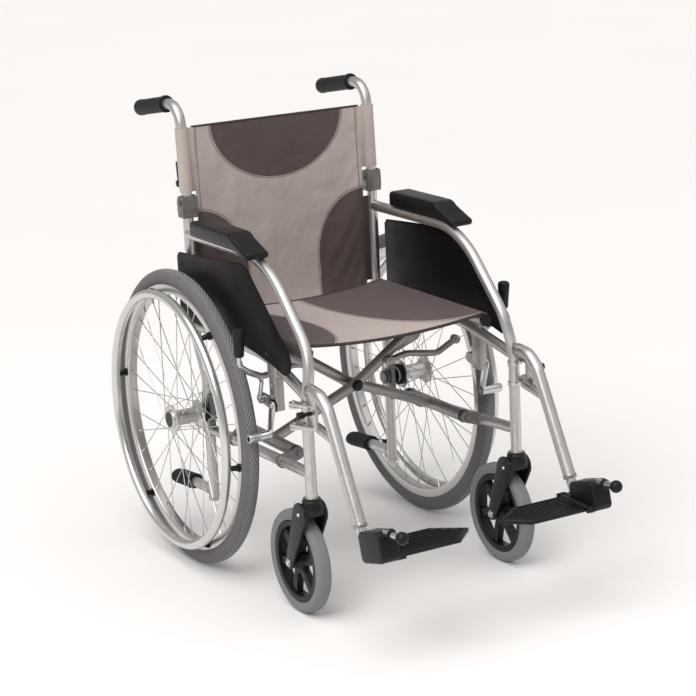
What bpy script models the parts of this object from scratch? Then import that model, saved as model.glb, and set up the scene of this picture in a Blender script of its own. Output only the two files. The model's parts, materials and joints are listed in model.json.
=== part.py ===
"""Manual folding wheelchair.

Metres, +Z up, the chair faces -Y and its right-hand side is -X.  Every piece is
placed under an empty on the floor below the rear axle, so in this file y = 0 is the
rear axle, x = 0 the middle plane and z = 0 the floor.  "right" is side -1, "left" +1.
"""
import math

import bmesh
import bpy
from mathutils import Matrix, Vector

# ---- driving dimensions -------------------------------------------------------------
GAP = 0.0003                  # between pieces that touch
TUBE_R = 0.011                # frame tubes

WHEEL_R = 0.305               # rear wheel, over the tyre
TYRE_W = 0.035
WHEEL_X = 0.273               # middle of the tyre from the middle of the chair
WHEEL_STEPS = 36              # facets around the tyre, rim and push ring
RIM_W = 0.024
RIM_DEPTH = 0.018
HANDRIM_R = 0.0095            # section of the push ring
HANDRIM_RING = WHEEL_R - 0.0457
HANDRIM_OUT = 0.038           # push ring out from the wheel's middle plane
SPOKES_PER_FLANGE = 18
SPOKE_R = 0.0009
HUB_OUT = 0.0366              # hub's outer end, from the wheel's middle plane
FLANGE_Z = 0.030
AXLE_R = 0.006
RUN = 0.0006                  # radial running clearance of pins and axles

CASTER_R = 0.1017
CASTER_W = 0.031
CASTER_RIM_R = 0.080
CASTER_TRAIL = 0.059
CASTER_SPOKES = 6
CASTER_STEPS = 24
FORK_ARM_T = 0.006
STEM_R = 0.008
STEM_LENGTH = 0.045

FRONT_X = 0.232               # front post
FRONT_Y = -0.453
FRONT_POST_Z = 2 * CASTER_R + 0.0396  # lower end of the front post, above the fork
ARM_X = 0.218                 # arm tube
ARM_Z = 0.672
ARM_SLOPE_Y = -0.293          # where the slope of the arm tube meets its level part

REAR_X = 0.216                # rear post
HUB_IN = WHEEL_X - REAR_X - TUBE_R - 0.002  # hub's inner end, just clear of the post
REAR_LOW_Y = 0.006
REAR_TOP_Y = 0.045
REAR_LOW_Z = 0.113
DOUBLER_HALF = 0.020          # plate that stiffens the rear post at the axle
REAR_TOP_Z = 0.7045
BACK_TOP_Z = 0.933
BACK_HINGE_UP = 0.0315        # back hinge above the rear post's end
BRACKET_CHEEK = 0.004
BRACKET_HALF = TUBE_R + 0.0015 + BRACKET_CHEEK
BRACKET_BOLT = 0.004          # how far the hinge bolt stands out of its bracket
GRIP_Y = 0.112
GRIP_LENGTH = 0.138
GRIP_R = 0.0165
GRIP_DROP = 0.022

SIDE_TUBE_Z = 0.482
RAIL_FRONT_Z = 0.291
RAIL_REAR_Z = 0.268

SEAT_RAIL_X = 0.200
SEAT_RAIL_Z = 0.508
SEAT_FRONT_Y = -0.410
SEAT_REAR_Y = -0.002
SEAT_SAG = 0.010
SLING_T = 0.004

FOOT_X = 0.193                # lower fold pivots
FOOT_Z = 0.295
FOOT_R = 0.0125
FOOT_PIN_R = 0.006
FOOT_FRONT_Y = -0.330
FOOT_REAR_Y = -0.120
BOLT_Z = 0.373                # middle of the cross brace
BRACE_R = 0.011
BRACE_A_Y = -0.226
BRACE_B_Y = -0.2
LINK_IN = (0.070, 0.416)      # fold link: inner and outer ends
LINK_OUT = (0.228, 0.434)
LINK_R = 0.0065

HANGER_PIN = (0.258, -0.450)  # vertical pin that the footrest swings on
HANGER_R = 0.0125
HANGER_TOP_Z = 0.455
HANGER_BEND_Y = -0.532
HANGER_END = (-0.635, 0.236)
TAB_Z = (0.432, 0.391)
TAB_T = 0.006
EXTENSION_R = 0.0098
EXTENSION_IN = 0.120          # length of the inner tube inside the hanger

EXTENSION_OUT = 0.050

BLOCK_MIDDLE = (-0.699, 0.219)
BLOCK_LENGTH = 0.078
BLOCK_HEIGHT = 0.058
BLOCK_WIDTH = 0.040
BLOCK_TILT = 15.0             # degrees, front end up
KNOB_R = 0.012
KNOB_Z = 0.2565
NECK_R = 0.006
NECK_RISE = 0.010

PLATE_AXIS = (0.2045, 0.2053) # footplate hinge
PLATE_PIN_R = 0.003
PLATE_KNUCKLE_R = 0.0065
EAR_T = 0.005
PLATE_REAR_Y = -0.643
PLATE_FRONT_Y = -0.729
PLATE_TIP_X = 0.033
PLATE_T = 0.011

BRAKE_X = 0.2435              # plane of the brake's levers
LEVER_R = 0.0042
BRAKE_PIVOT = (-0.285, 0.402)
SHOE_PIVOT = (-0.335, 0.398)
SHOE_R = 0.009
SHOE_GAP = 0.004
SHOE_Z = 0.336

PAD_W = 0.051
PAD_T = 0.032
PAD_REAR_Y = -0.040
PAD_FRONT_Y = -0.287
GUARD_T = 0.0025
GUARD_REAR_Y = 0.046

FRONT_REACH = 0.792           # foremost point of the footrest, from the rear axle
AXLE_BACK = (FRONT_REACH - WHEEL_R) / 2

# ---- colours: name, colour, roughness, metallic ---------------------------------------
PALETTE = {
    "satin_silver": ((0.66, 0.66, 0.65), 0.35, 0.9),
    "dark_silver": ((0.40, 0.39, 0.38), 0.42, 0.9),
    "wheel_silver": ((0.72, 0.72, 0.72), 0.25, 1.0),
    "black_plastic": ((0.03, 0.03, 0.032), 0.45, 0.0),
    "black_vinyl": ((0.025, 0.023, 0.022), 0.6, 0.0),
    "black_foam": ((0.02, 0.02, 0.02), 0.8, 0.0),
    "grey_tyre": ((0.22, 0.22, 0.23), 0.7, 0.0),
    "caster_tyre": ((0.30, 0.31, 0.33), 0.6, 0.0),
    "taupe_fabric": ((0.42, 0.38, 0.36), 0.9, 0.0),
}


# ---- scene, collections and materials ------------------------------------------------
def clear_scene():
    for obj in list(bpy.data.objects):
        bpy.data.objects.remove(obj, do_unlink=True)


def new_collection(name):
    collection = bpy.data.collections.new(name)
    bpy.context.scene.collection.children.link(collection)
    return collection


def make_material(name):
    colour, roughness, metallic = PALETTE[name]
    material = bpy.data.materials.new(name)
    material.use_nodes = True
    shader = material.node_tree.nodes["Principled BSDF"]
    shader.inputs["Base Color"].default_value = (*colour, 1.0)
    shader.inputs["Roughness"].default_value = roughness
    shader.inputs["Metallic"].default_value = metallic
    return material


def make_empty(name, location, parent=None):
    empty = bpy.data.objects.new(name, None)
    PARTS.objects.link(empty)
    empty.location = Vector(location)
    if parent is not None:
        empty.parent = parent
        empty.matrix_parent_inverse = Matrix.Translation(-Vector(PLACES[parent.name]))
    PLACES[name] = tuple(location)
    return empty


def finish(obj, name, colour, parent, smooth=True):
    """Names a piece, gives it its own material and hangs it on an empty."""
    obj.name = name
    obj.data.name = name
    material = make_material(colour)
    material.name = name
    obj.data.materials.clear()
    obj.data.materials.append(material)
    if smooth and obj.type == "MESH":
        obj.data.shade_smooth()
        obj.data.set_sharp_from_angle(angle=math.radians(40))
    for collection in list(obj.users_collection):
        collection.objects.unlink(obj)
    PARTS.objects.link(obj)
    obj.parent = parent
    obj.matrix_parent_inverse = Matrix.Translation(-Vector(PLACES[parent.name]))
    return obj


# ---- shapes ---------------------------------------------------------------------------
def object_from(bm, name):
    mesh = bpy.data.meshes.new(name)
    bm.to_mesh(mesh)
    bm.free()
    obj = bpy.data.objects.new(name, mesh)
    bpy.context.scene.collection.objects.link(obj)
    return obj


def box(low, high):
    """A box between two corners."""
    low, high = Vector(low), Vector(high)
    bm = bmesh.new()
    bmesh.ops.create_cube(bm, size=1.0)
    bmesh.ops.scale(bm, vec=high - low, verts=bm.verts)
    bmesh.ops.translate(bm, vec=(low + high) / 2, verts=bm.verts)
    return object_from(bm, "box")


def box_x(side, x0, x1, y0, y1, z0, z1):
    """A box whose x sizes are distances from the middle plane on one side."""
    xs = sorted((side * x0, side * x1))
    return box((xs[0], y0, z0), (xs[1], y1, z1))


def add_rod(bm, start, end, radius, end_radius, sides):
    start, end = Vector(start), Vector(end)
    along = end - start
    turn = along.to_track_quat("Z", "Y").to_matrix().to_4x4()
    bmesh.ops.create_cone(
        bm,
        cap_ends=True,
        segments=sides,
        radius1=radius,
        radius2=radius if end_radius is None else end_radius,
        depth=along.length,
        matrix=Matrix.Translation((start + end) / 2) @ turn,
    )


def rod(start, end, radius, end_radius=None, sides=10):
    """A round bar, or a cone, between two points."""
    bm = bmesh.new()
    add_rod(bm, start, end, radius, end_radius, sides)
    return object_from(bm, "rod")


def ball(centre, radius):
    bm = bmesh.new()
    bmesh.ops.create_uvsphere(
        bm, u_segments=10, v_segments=6, radius=radius, matrix=Matrix.Translation(centre)
    )
    return object_from(bm, "ball")


def rounded_path(corners, steps):
    """Points of a path whose corners (point, radius) are turned as arcs."""
    points = [Vector(corners[0][0])]
    for (before, _), (corner, radius), (after, _) in zip(corners, corners[1:], corners[2:]):
        corner = Vector(corner)
        back = (Vector(before) - corner).normalized()
        ahead = (Vector(after) - corner).normalized()
        half = back.angle(ahead) / 2
        reach = radius / math.tan(half)
        centre = corner + (back + ahead).normalized() * (radius / math.sin(half))
        first = corner + back * reach - centre
        last = corner + ahead * reach - centre
        for i in range(steps + 1):
            points.append(centre + first.slerp(last, i / steps).normalized() * radius)
    points.append(Vector(corners[-1][0]))
    return points


def tube(corners, radius, steps=3, detail=2):
    """A round tube along a path with rounded corners."""
    curve = bpy.data.curves.new("tube", "CURVE")
    curve.dimensions = "3D"
    curve.bevel_depth = radius
    curve.bevel_resolution = detail
    curve.use_fill_caps = True
    points = rounded_path(corners, steps)
    spline = curve.splines.new("POLY")
    spline.points.add(len(points) - 1)
    for slot, point in zip(spline.points, points):
        slot.co = (*point, 1.0)
    obj = bpy.data.objects.new("tube", curve)
    bpy.context.scene.collection.objects.link(obj)
    return as_mesh(obj)


def as_mesh(obj):
    """The evaluated shape of an object as a mesh, welded and facing outward."""
    bpy.context.view_layer.update()
    graph = bpy.context.evaluated_depsgraph_get()
    mesh = bpy.data.meshes.new_from_object(obj.evaluated_get(graph))
    bm = bmesh.new()
    bm.from_mesh(mesh)
    bmesh.ops.remove_doubles(bm, verts=bm.verts, dist=0.00001)
    bmesh.ops.recalc_face_normals(bm, faces=bm.faces)
    bm.to_mesh(mesh)
    bm.free()
    solid = bpy.data.objects.new(obj.name, mesh)
    bpy.context.scene.collection.objects.link(solid)
    solid.matrix_world = obj.matrix_world
    bpy.data.objects.remove(obj, do_unlink=True)
    return solid


def plate(outlines, thickness, centre, plane):
    """A flat plate from closed 2D outlines; later outlines are holes.

    plane "YZ" reads each point as (y, z) and is thick along x, plane "XY" reads (x, y)
    and is thick along z, and plane "XZ" reads (x, z) and is thick along y.
    """
    curve = bpy.data.curves.new("plate", "CURVE")
    curve.dimensions = "2D"
    curve.fill_mode = "BOTH"
    curve.extrude = thickness / 2
    for outline in outlines:
        spline = curve.splines.new("POLY")
        spline.points.add(len(outline) - 1)
        spline.use_cyclic_u = True
        for slot, (u, v) in zip(spline.points, outline):
            slot.co = (u, v, 0.0, 1.0)
    obj = bpy.data.objects.new("plate", curve)
    bpy.context.scene.collection.objects.link(obj)
    right = math.radians(90)
    turns = {"XY": (0, 0, 0), "YZ": (right, 0, right), "XZ": (right, 0, 0)}
    obj.rotation_euler = turns[plane]
    obj.location = centre
    return as_mesh(obj)


def arc(centre, radius, start, end, steps=6):
    """Points along an arc, with its angles in degrees."""
    angles = [start + (end - start) * i / steps for i in range(steps + 1)]
    return [
        (centre[0] + radius * math.cos(math.radians(a)),
         centre[1] + radius * math.sin(math.radians(a)))
        for a in angles
    ]


def ring(u, v, radius, steps):
    """A closed circle of points."""
    return arc((u, v), radius, 0, 360 - 360 / steps, steps - 1)


def capsule(a, b, radius_a, radius_b, steps=6):
    """The outline around two circles."""
    a, b = Vector(a), Vector(b)
    along = math.degrees(math.atan2(b.y - a.y, b.x - a.x))
    lean = math.degrees(math.asin((radius_a - radius_b) / (b - a).length))
    return (
        arc(b, radius_b, along - 90 + lean, along + 90 - lean, steps)
        + arc(a, radius_a, along + 90 - lean, along + 270 + lean, steps)
    )


def turned(profile, steps, closed, axis_out, centre, angle=0.0):
    """A profile of (radius, height) turned about its axis, which points along axis_out.

    An open profile starts and ends on the axis, and runs down its outer side.
    """
    mesh = bpy.data.meshes.new("turned")
    count = len(profile)
    edges = [(i, i + 1) for i in range(count - 1)]
    if closed:
        edges.append((count - 1, 0))
    mesh.from_pydata([(r, 0.0, z) for r, z in profile], edges, [])
    obj = bpy.data.objects.new("turned", mesh)
    bpy.context.scene.collection.objects.link(obj)
    screw = obj.modifiers.new("turn", "SCREW")
    screw.steps = steps
    screw.render_steps = steps
    screw.use_merge_vertices = True
    screw.merge_threshold = 0.00001
    turn = Vector(axis_out).to_track_quat("Z", "Y").to_matrix().to_4x4()
    obj.matrix_world = Matrix.Translation(centre) @ turn @ Matrix.Rotation(angle, 4, "Z")
    return as_mesh(obj)


def combine(target, others, operation):
    """Joins others to target, or cuts them from it, and leaves one mesh."""
    for i, other in enumerate(others):
        for collection in list(other.users_collection):
            collection.objects.unlink(other)
        CUTTERS.objects.link(other)
        other.display_type = "WIRE"
        other.hide_render = True
        step = target.modifiers.new(f"{operation.lower()}_{i}", "BOOLEAN")
        step.operation = operation
        step.solver = "EXACT"
        step.object = other
    solid = as_mesh(target)
    for other in others:
        bpy.data.objects.remove(other, do_unlink=True)
    return solid


def cope(piece, side, x, y, radius):
    """Hollows a tube's end out around an upright tube that it meets."""
    reach = (radius + GAP) / math.cos(math.pi / 12)
    return cut(piece, rod((side * x, y, -0.1), (side * x, y, 1.1), reach, sides=12))


def union(target, *others):
    return combine(target, others, "UNION")


def cut(target, *others):
    return combine(target, others, "DIFFERENCE")


# ---- rear wheel -----------------------------------------------------------------------
def rear_tyre(side):
    middle = WHEEL_R - TYRE_W / 2
    section = arc((middle, 0.0), TYRE_W / 2, 130, -130, 6)
    return turned(section, WHEEL_STEPS, True, (side, 0, 0), (side * WHEEL_X, 0, WHEEL_R))


def tyre_seat_radius():
    """Inner radius of the tyre, where it sits on the rim."""
    return WHEEL_R - TYRE_W / 2 - TYRE_W / 2 * math.cos(math.radians(50))


def rim_outer_radius():
    """Outer radius of the rim, just inside the flats of the tyre's inner side."""
    return (tyre_seat_radius() - GAP) * math.cos(math.pi / WHEEL_STEPS)


def rear_rim(side):
    outer = rim_outer_radius()
    inner = outer - RIM_DEPTH
    half = RIM_W / 2
    profile = [
        (outer, half),
        (outer, -half),
        (inner + 0.003, -half),
        (inner, 0.0),
        (inner + 0.003, half),
    ]
    return turned(profile, WHEEL_STEPS, True, (side, 0, 0), (side * WHEEL_X, 0, WHEEL_R))


def wheel_point(side, radius, angle, out):
    """A point on the rear wheel, from its radius, angle in degrees and offset outward."""
    a = math.radians(angle)
    return Vector((side * (WHEEL_X + out), radius * math.cos(a), WHEEL_R + radius * math.sin(a)))


def add_spokes(bm, side):
    hole_r = 0.0265
    rim_r = (rim_outer_radius() - RIM_DEPTH) * math.cos(math.pi / WHEEL_STEPS) - 2 * GAP
    pitch = 360 / SPOKES_PER_FLANGE
    for flange in (-1, 1):
        for k in range(SPOKES_PER_FLANGE):
            lead = 1 if k % 2 == 0 else -1
            at_hub = k * pitch + (flange + 1) * pitch / 4
            at_rim = at_hub + lead * 3 * pitch
            start = wheel_point(side, hole_r, at_hub, flange * FLANGE_Z + lead * 0.0021)
            end = wheel_point(side, rim_r, at_rim, 0.0)
            add_rod(bm, start, end, SPOKE_R, SPOKE_R, 3)


def rear_hub(side):
    profile = [
        (0.0, HUB_OUT),
        (0.020, HUB_OUT),
        (0.022, HUB_OUT - 0.003),
        (0.022, FLANGE_Z + 0.0018),
        (0.030, FLANGE_Z + 0.0018),
        (0.030, FLANGE_Z - 0.0018),
        (0.017, FLANGE_Z - 0.005),
        (0.017, -FLANGE_Z + 0.005),
        (0.030, -FLANGE_Z + 0.0018),
        (0.030, -FLANGE_Z - 0.0018),
        (0.018, -FLANGE_Z - 0.0018),
        (0.016, -HUB_IN),
        (0.0, -HUB_IN),
    ]
    centre = (side * WHEEL_X, 0, WHEEL_R)
    body = turned(profile, 12, False, (side, 0, 0), centre)
    bm = bmesh.new()
    add_spokes(bm, side)
    body = union(body, object_from(bm, "spokes"))
    bore = rod(
        (side * (WHEEL_X - HUB_IN - 0.01), 0, WHEEL_R),
        (side * (WHEEL_X + FLANGE_Z), 0, WHEEL_R),
        AXLE_R + RUN,
    )
    return cut(body, bore)


def handrim(side):
    section = arc((HANDRIM_RING, HANDRIM_OUT), HANDRIM_R, 180, -120, 5)
    ring = turned(section, WHEEL_STEPS, True, (side, 0, 0), (side * WHEEL_X, 0, WHEEL_R))
    rim_face = RIM_W / 2 + GAP
    tabs = []
    for k in range(6):
        angle = 60 * k + 9
        low = wheel_point(side, HANDRIM_RING - 0.004, angle, HANDRIM_OUT)
        high = wheel_point(side, HANDRIM_RING + 0.003, angle, rim_face)
        tabs.append(rod(low, high, 0.0055, sides=6))
    trim = box_x(side, WHEEL_X - 0.05, WHEEL_X + rim_face, -0.4, 0.4, -0.1, 0.7)
    return cut(union(ring, *tabs), trim)


# ---- caster ---------------------------------------------------------------------------
def caster_axle(side):
    return Vector((side * FRONT_X, FRONT_Y + CASTER_TRAIL, CASTER_R))


def caster_tyre(side):
    half = CASTER_W / 2
    seat = CASTER_RIM_R + GAP
    shoulder = CASTER_R - half * 0.8
    profile = [(seat, half * 0.8)]
    profile += arc((shoulder, 0.0), half, 80, -80, 4)
    profile += [(seat, -half * 0.8)]
    profile = [(min(r, CASTER_R), z) for r, z in profile]
    return turned(profile, CASTER_STEPS, True, (side, 0, 0), caster_axle(side))


def caster_wheel(side):
    axle = caster_axle(side)
    outer = (CASTER_RIM_R - GAP) * math.cos(math.pi / CASTER_STEPS)
    windows = []
    for k in range(CASTER_SPOKES):
        middle = 360 / CASTER_SPOKES * k + 15
        wide = arc((axle.y, axle.z), outer - 0.010, middle - 24, middle + 24, 3)
        narrow = arc((axle.y, axle.z), 0.027, middle + 14, middle - 14, 1)
        windows.append(wide + narrow)
    disc = plate(
        [ring(axle.y, axle.z, outer, CASTER_STEPS)] + windows,
        0.020,
        (axle.x, 0, 0),
        "YZ",
    )
    half = CASTER_W / 2
    boss = rod(axle - Vector((half, 0, 0)), axle + Vector((half, 0, 0)), 0.015)
    reach = Vector((CASTER_W, 0, 0))
    bore = rod(axle - reach, axle + reach, AXLE_R + RUN)
    return cut(union(disc, boss), bore)


def caster_fork(side):
    axle = caster_axle(side)
    arm_x = CASTER_W / 2 + 0.004 + FORK_ARM_T / 2
    crown_z = 2 * CASTER_R + 0.004
    top = (FRONT_Y + 0.008, crown_z + 0.006)
    arms = [
        plate(
            [capsule(top, (axle.y, axle.z), 0.021, 0.013)],
            FORK_ARM_T,
            (axle.x + offset, 0, 0),
            "YZ",
        )
        for offset in (-arm_x, arm_x)
    ]
    half = arm_x + FORK_ARM_T / 2
    crown = box(
        (axle.x - half, FRONT_Y - 0.013, crown_z),
        (axle.x + half, FRONT_Y + 0.027, crown_z + 0.020),
    )
    stem = Vector((axle.x, FRONT_Y, crown_z + 0.010))
    collar_top = Vector((axle.x, FRONT_Y, FRONT_POST_Z - GAP))
    collar = rod(stem, collar_top, 0.021, 0.0165)
    spindle = rod(stem, collar_top + Vector((0, 0, STEM_LENGTH)), STEM_R)
    reach = Vector((half + 0.003, 0, 0))
    bolt = rod(axle - reach, axle + reach, AXLE_R)
    return union(crown, *arms, collar, spindle, bolt)


# ---- side frame -----------------------------------------------------------------------
def front_post_arm_tube(side):
    lean = 0.160
    post = tube(
        [
            ((side * FRONT_X, FRONT_Y, FRONT_POST_Z), 0),
            ((side * FRONT_X, FRONT_Y, 0.440), 0.06),
            ((side * ARM_X, FRONT_Y, ARM_Z - lean), 0.12),
            ((side * ARM_X, ARM_SLOPE_Y, ARM_Z), 0.20),
            ((side * ARM_X, rear_post_y(ARM_Z) - TUBE_R - GAP, ARM_Z), 0),
        ],
        TUBE_R,
    )
    pin_x, pin_y = HANGER_PIN
    ears = []
    for z in TAB_Z:
        ear_z = z - TAB_T - GAP
        ears.append(
            plate(
                [capsule((side * FRONT_X, FRONT_Y), (side * pin_x, pin_y), 0.009, 0.009)],
                TAB_T,
                (0, 0, ear_z),
                "XY",
            )
        )
        ears.append(
            rod((side * pin_x, pin_y, ear_z), (side * pin_x, pin_y, z + TAB_T), 0.004)
        )
    stem_hole = rod(
        (side * FRONT_X, FRONT_Y, FRONT_POST_Z - 0.01),
        (side * FRONT_X, FRONT_Y, FRONT_POST_Z + STEM_LENGTH + 0.004),
        STEM_R + RUN,
    )
    return cut(union(post, *ears), stem_hole)


def rear_post_y(z):
    """Where the rear post is at a height, between its two bends."""
    low_z, high_z = 0.38, 0.46
    share = min(max((z - low_z) / (high_z - low_z), 0.0), 1.0)
    return REAR_LOW_Y + share * (REAR_TOP_Y - REAR_LOW_Y)


def rear_post(side):
    x = side * REAR_X
    post = tube(
        [
            ((x, REAR_LOW_Y, REAR_LOW_Z), 0),
            ((x, REAR_LOW_Y, 0.38), 0.05),
            ((x, REAR_TOP_Y, 0.46), 0.05),
            ((x, REAR_TOP_Y, REAR_TOP_Z), 0),
        ],
        TUBE_R,
        steps=2,
    )
    doubler = box_x(
        side, REAR_X - 0.006, REAR_X + 0.006,
        REAR_LOW_Y - DOUBLER_HALF, REAR_LOW_Y + DOUBLER_HALF, WHEEL_R - 0.05, WHEEL_R + 0.04,
    )
    nut_in = rod(
        (side * (REAR_X - TUBE_R - 0.009), 0, WHEEL_R), (x, 0, WHEEL_R), 0.014, sides=6
    )
    axle = rod((x, 0, WHEEL_R), (side * (WHEEL_X + FLANGE_Z - 0.001), 0, WHEEL_R), AXLE_R)
    return union(post, doubler, nut_in, axle)


def seat_side_tube(side):
    rear_y = rear_post_y(SIDE_TUBE_Z)
    pipe = tube(
        [
            ((side * REAR_X, rear_y, SIDE_TUBE_Z), 0),
            ((side * (REAR_X + 0.004), -0.290, SIDE_TUBE_Z), 0.45),
            ((side * FRONT_X, FRONT_Y, SIDE_TUBE_Z - 0.040), 0),
        ],
        TUBE_R,
    )
    pipe = cope(pipe, side, REAR_X, rear_y, TUBE_R)
    return cope(pipe, side, FRONT_X - 0.001, FRONT_Y, TUBE_R + 0.001)


def lower_rail(side):
    rear = Vector((side * REAR_X, REAR_LOW_Y, RAIL_REAR_Z))
    front = Vector((side * FRONT_X, FRONT_Y, RAIL_FRONT_Z))
    rail = tube([(rear, 0), (front, 0)], TUBE_R)
    rail = cope(rail, side, FRONT_X, FRONT_Y, TUBE_R)
    doubler_y = REAR_LOW_Y - DOUBLER_HALF - GAP
    rail = cut(rail, box_x(side, 0.15, 0.30, doubler_y, 0.1, 0.2, 0.35))
    foot = (side * FOOT_X, FOOT_Z)
    pieces = []
    for y, step in ((FOOT_FRONT_Y, -1), (FOOT_REAR_Y, 1)):
        share = (y - rear.y) / (front.y - rear.y)
        on_rail = rear.lerp(front, share)
        pieces.append(
            plate(
                [capsule(foot, (on_rail.x, on_rail.z), 0.012, 0.0135)],
                0.010,
                (0, y + step * (0.005 + GAP), 0),
                "XZ",
            )
        )
    pieces.append(
        rod(
            (foot[0], FOOT_FRONT_Y - 0.008, FOOT_Z),
            (foot[0], FOOT_REAR_Y + 0.008, FOOT_Z),
            FOOT_PIN_R,
        )
    )
    return union(rail, *pieces)


def skirt_guard(side):
    x = side * (FRONT_X + TUBE_R + GUARD_T / 2 + 0.001)
    low, high = SIDE_TUBE_Z + 0.018, ARM_Z - TUBE_R
    bottom_r, bottom_y = 0.960, -0.160
    outline = [(GUARD_REAR_Y, low), (GUARD_REAR_Y, high - 0.031)]
    outline += [(GUARD_REAR_Y - 0.010, high - 0.022)]
    outline += arc((-0.235, high - 0.061), 0.060, 90, 135, 3)
    outline += arc((-0.396, 0.500), 0.028, 145, 260, 4)
    outline += arc((bottom_y, low - bottom_r), bottom_r, 104, 90, 4)
    return plate([outline], GUARD_T, (x, 0, 0), "YZ")


def arm_pad(side):
    low = ARM_Z + TUBE_R + GAP
    high = low + PAD_T
    bend_y, bend_r = -0.209, 0.200 + TUBE_R + GAP
    drop_y, drop_r = -0.205, 0.034
    outline = [(PAD_REAR_Y, low), (PAD_REAR_Y, high - 0.012)]
    outline += arc((PAD_REAR_Y - 0.010, high - 0.010), 0.010, 30, 90, 2)
    outline += arc((drop_y, high - drop_r), drop_r, 90, 132, 3)
    outline += [(PAD_FRONT_Y, low + 0.001), (PAD_FRONT_Y + 0.002, low - 0.007)]
    outline += arc((bend_y, low - bend_r), bend_r + 0.0004, 110, 90, 4)
    return plate([outline], PAD_W, (side * (FRONT_X - 0.001), 0, 0), "YZ")


# ---- folding brace --------------------------------------------------------------------
def brace(side, y):
    """One half of the cross: from the foot on one side to the seat rail on the other."""
    foot_x, rail_x = side * FOOT_X, -side * SEAT_RAIL_X
    foot = tube(
        [((foot_x, FOOT_FRONT_Y, FOOT_Z), 0), ((foot_x, FOOT_REAR_Y, FOOT_Z), 0)], FOOT_R
    )
    bars = tube(
        [
            ((foot_x, y, FOOT_Z), 0),
            ((0.0, y, BOLT_Z), 0.15),
            ((rail_x, y, SEAT_RAIL_Z), 0),
        ],
        BRACE_R,
        steps=3,
    )
    rail = tube(
        [((rail_x, SEAT_FRONT_Y, SEAT_RAIL_Z), 0), ((rail_x, SEAT_REAR_Y, SEAT_RAIL_Z), 0)],
        TUBE_R,
    )
    gusset = plate(
        [[
            (-side * 0.060, 0.412),
            (-side * 0.150, 0.443),
            (-side * 0.185, 0.490),
            (-side * 0.100, 0.442),
        ]],
        0.008,
        (0, y, 0),
        "XZ",
    )
    pin_hole = rod(
        (foot_x, FOOT_FRONT_Y - 0.01, FOOT_Z),
        (foot_x, FOOT_REAR_Y + 0.01, FOOT_Z),
        FOOT_PIN_R + RUN,
    )
    middle = brace_middle(y)
    bolt_hole = rod(
        middle - Vector((0, 0.03, 0)), middle + Vector((0, 0.03, 0)), 0.0055 + RUN
    )
    return cut(union(foot, bars, rail, gusset), pin_hole, bolt_hole)


def brace_middle(y):
    """The middle of a brace's bend, where the centre bolt crosses it."""
    return Vector((0.0, y, BOLT_Z + 0.0012))


def centre_bolt():
    front = brace_middle(BRACE_A_Y - BRACE_R - GAP)
    rear = brace_middle(BRACE_B_Y + BRACE_R + GAP)
    head = rod(front - Vector((0, 0.006, 0)), front, 0.011)
    shank = rod(front - Vector((0, 0.002, 0)), rear + Vector((0, 0.002, 0)), 0.0055)
    nut = rod(rear, rear + Vector((0, 0.007, 0)), 0.010, sides=6)
    return union(head, shank, nut)


def fold_link(side):
    y = BRACE_A_Y - BRACE_R - 0.010 if side > 0 else BRACE_B_Y + BRACE_R + 0.010
    inner_x, inner_z = LINK_IN
    outer_x, outer_z = LINK_OUT
    bar = tube(
        [
            ((side * inner_x, y, inner_z), 0),
            ((side * (inner_x + 0.040), y, inner_z + 0.008), 0.05),
            ((side * (outer_x - 0.045), y, inner_z - 0.004), 0.03),
            ((side * outer_x, y, outer_z), 0),
        ],
        LINK_R,
        steps=3,
    )
    inner = rod((side * inner_x, y - 0.007, inner_z), (side * inner_x, y + 0.007, inner_z), 0.009)
    outer = rod((side * outer_x, y - 0.007, outer_z), (side * outer_x, y + 0.007, outer_z), 0.009)
    return union(bar, inner, outer)


# ---- seat and back fabric -------------------------------------------------------------
def seat_sling():
    half = SEAT_RAIL_X + TUBE_R
    top_z = SEAT_RAIL_Z + TUBE_R + 0.0005 + SLING_T
    steps = 12
    across = [half * (2 * i / steps - 1) for i in range(steps + 1)]

    def sag(x):
        return SEAT_SAG * max(0.0, 1 - (x / (SEAT_RAIL_X - TUBE_R)) ** 2)

    top = [(x, top_z - sag(x)) for x in across]
    bottom = [(x, z - SLING_T) for x, z in reversed(top)]
    depth = SEAT_REAR_Y - SEAT_FRONT_Y
    return plate([top + bottom], depth, (0, (SEAT_REAR_Y + SEAT_FRONT_Y) / 2, 0), "XZ")


def back_panel(low, high, y):
    half = REAR_X - BRACKET_HALF - BRACKET_BOLT - 2 * GAP
    return box((-half, y - SLING_T / 2, low), (half, y + SLING_T / 2, high))


# ---- back posts -----------------------------------------------------------------------
def back_pivot():
    """Height of the hinge that lets the upper back fold down."""
    return REAR_TOP_Z + BACK_HINGE_UP


def back_hinge_bracket(side):
    pivot_z = back_pivot()
    half, cheek = BRACKET_HALF, BRACKET_CHEEK
    base_z = REAR_TOP_Z + GAP
    block = box_x(
        side, REAR_X - half, REAR_X + half,
        REAR_TOP_Y - 0.0135, REAR_TOP_Y + 0.0135, base_z, pivot_z + 0.014,
    )
    slot = box_x(
        side, REAR_X - half + cheek, REAR_X + half - cheek,
        REAR_TOP_Y - 0.03, REAR_TOP_Y + 0.03, base_z + 0.011, pivot_z + 0.05,
    )
    bolt = rod(
        (side * (REAR_X - half - BRACKET_BOLT), REAR_TOP_Y, pivot_z),
        (side * (REAR_X + half + BRACKET_BOLT), REAR_TOP_Y, pivot_z),
        0.004,
    )
    return union(cut(block, slot), bolt)


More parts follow.
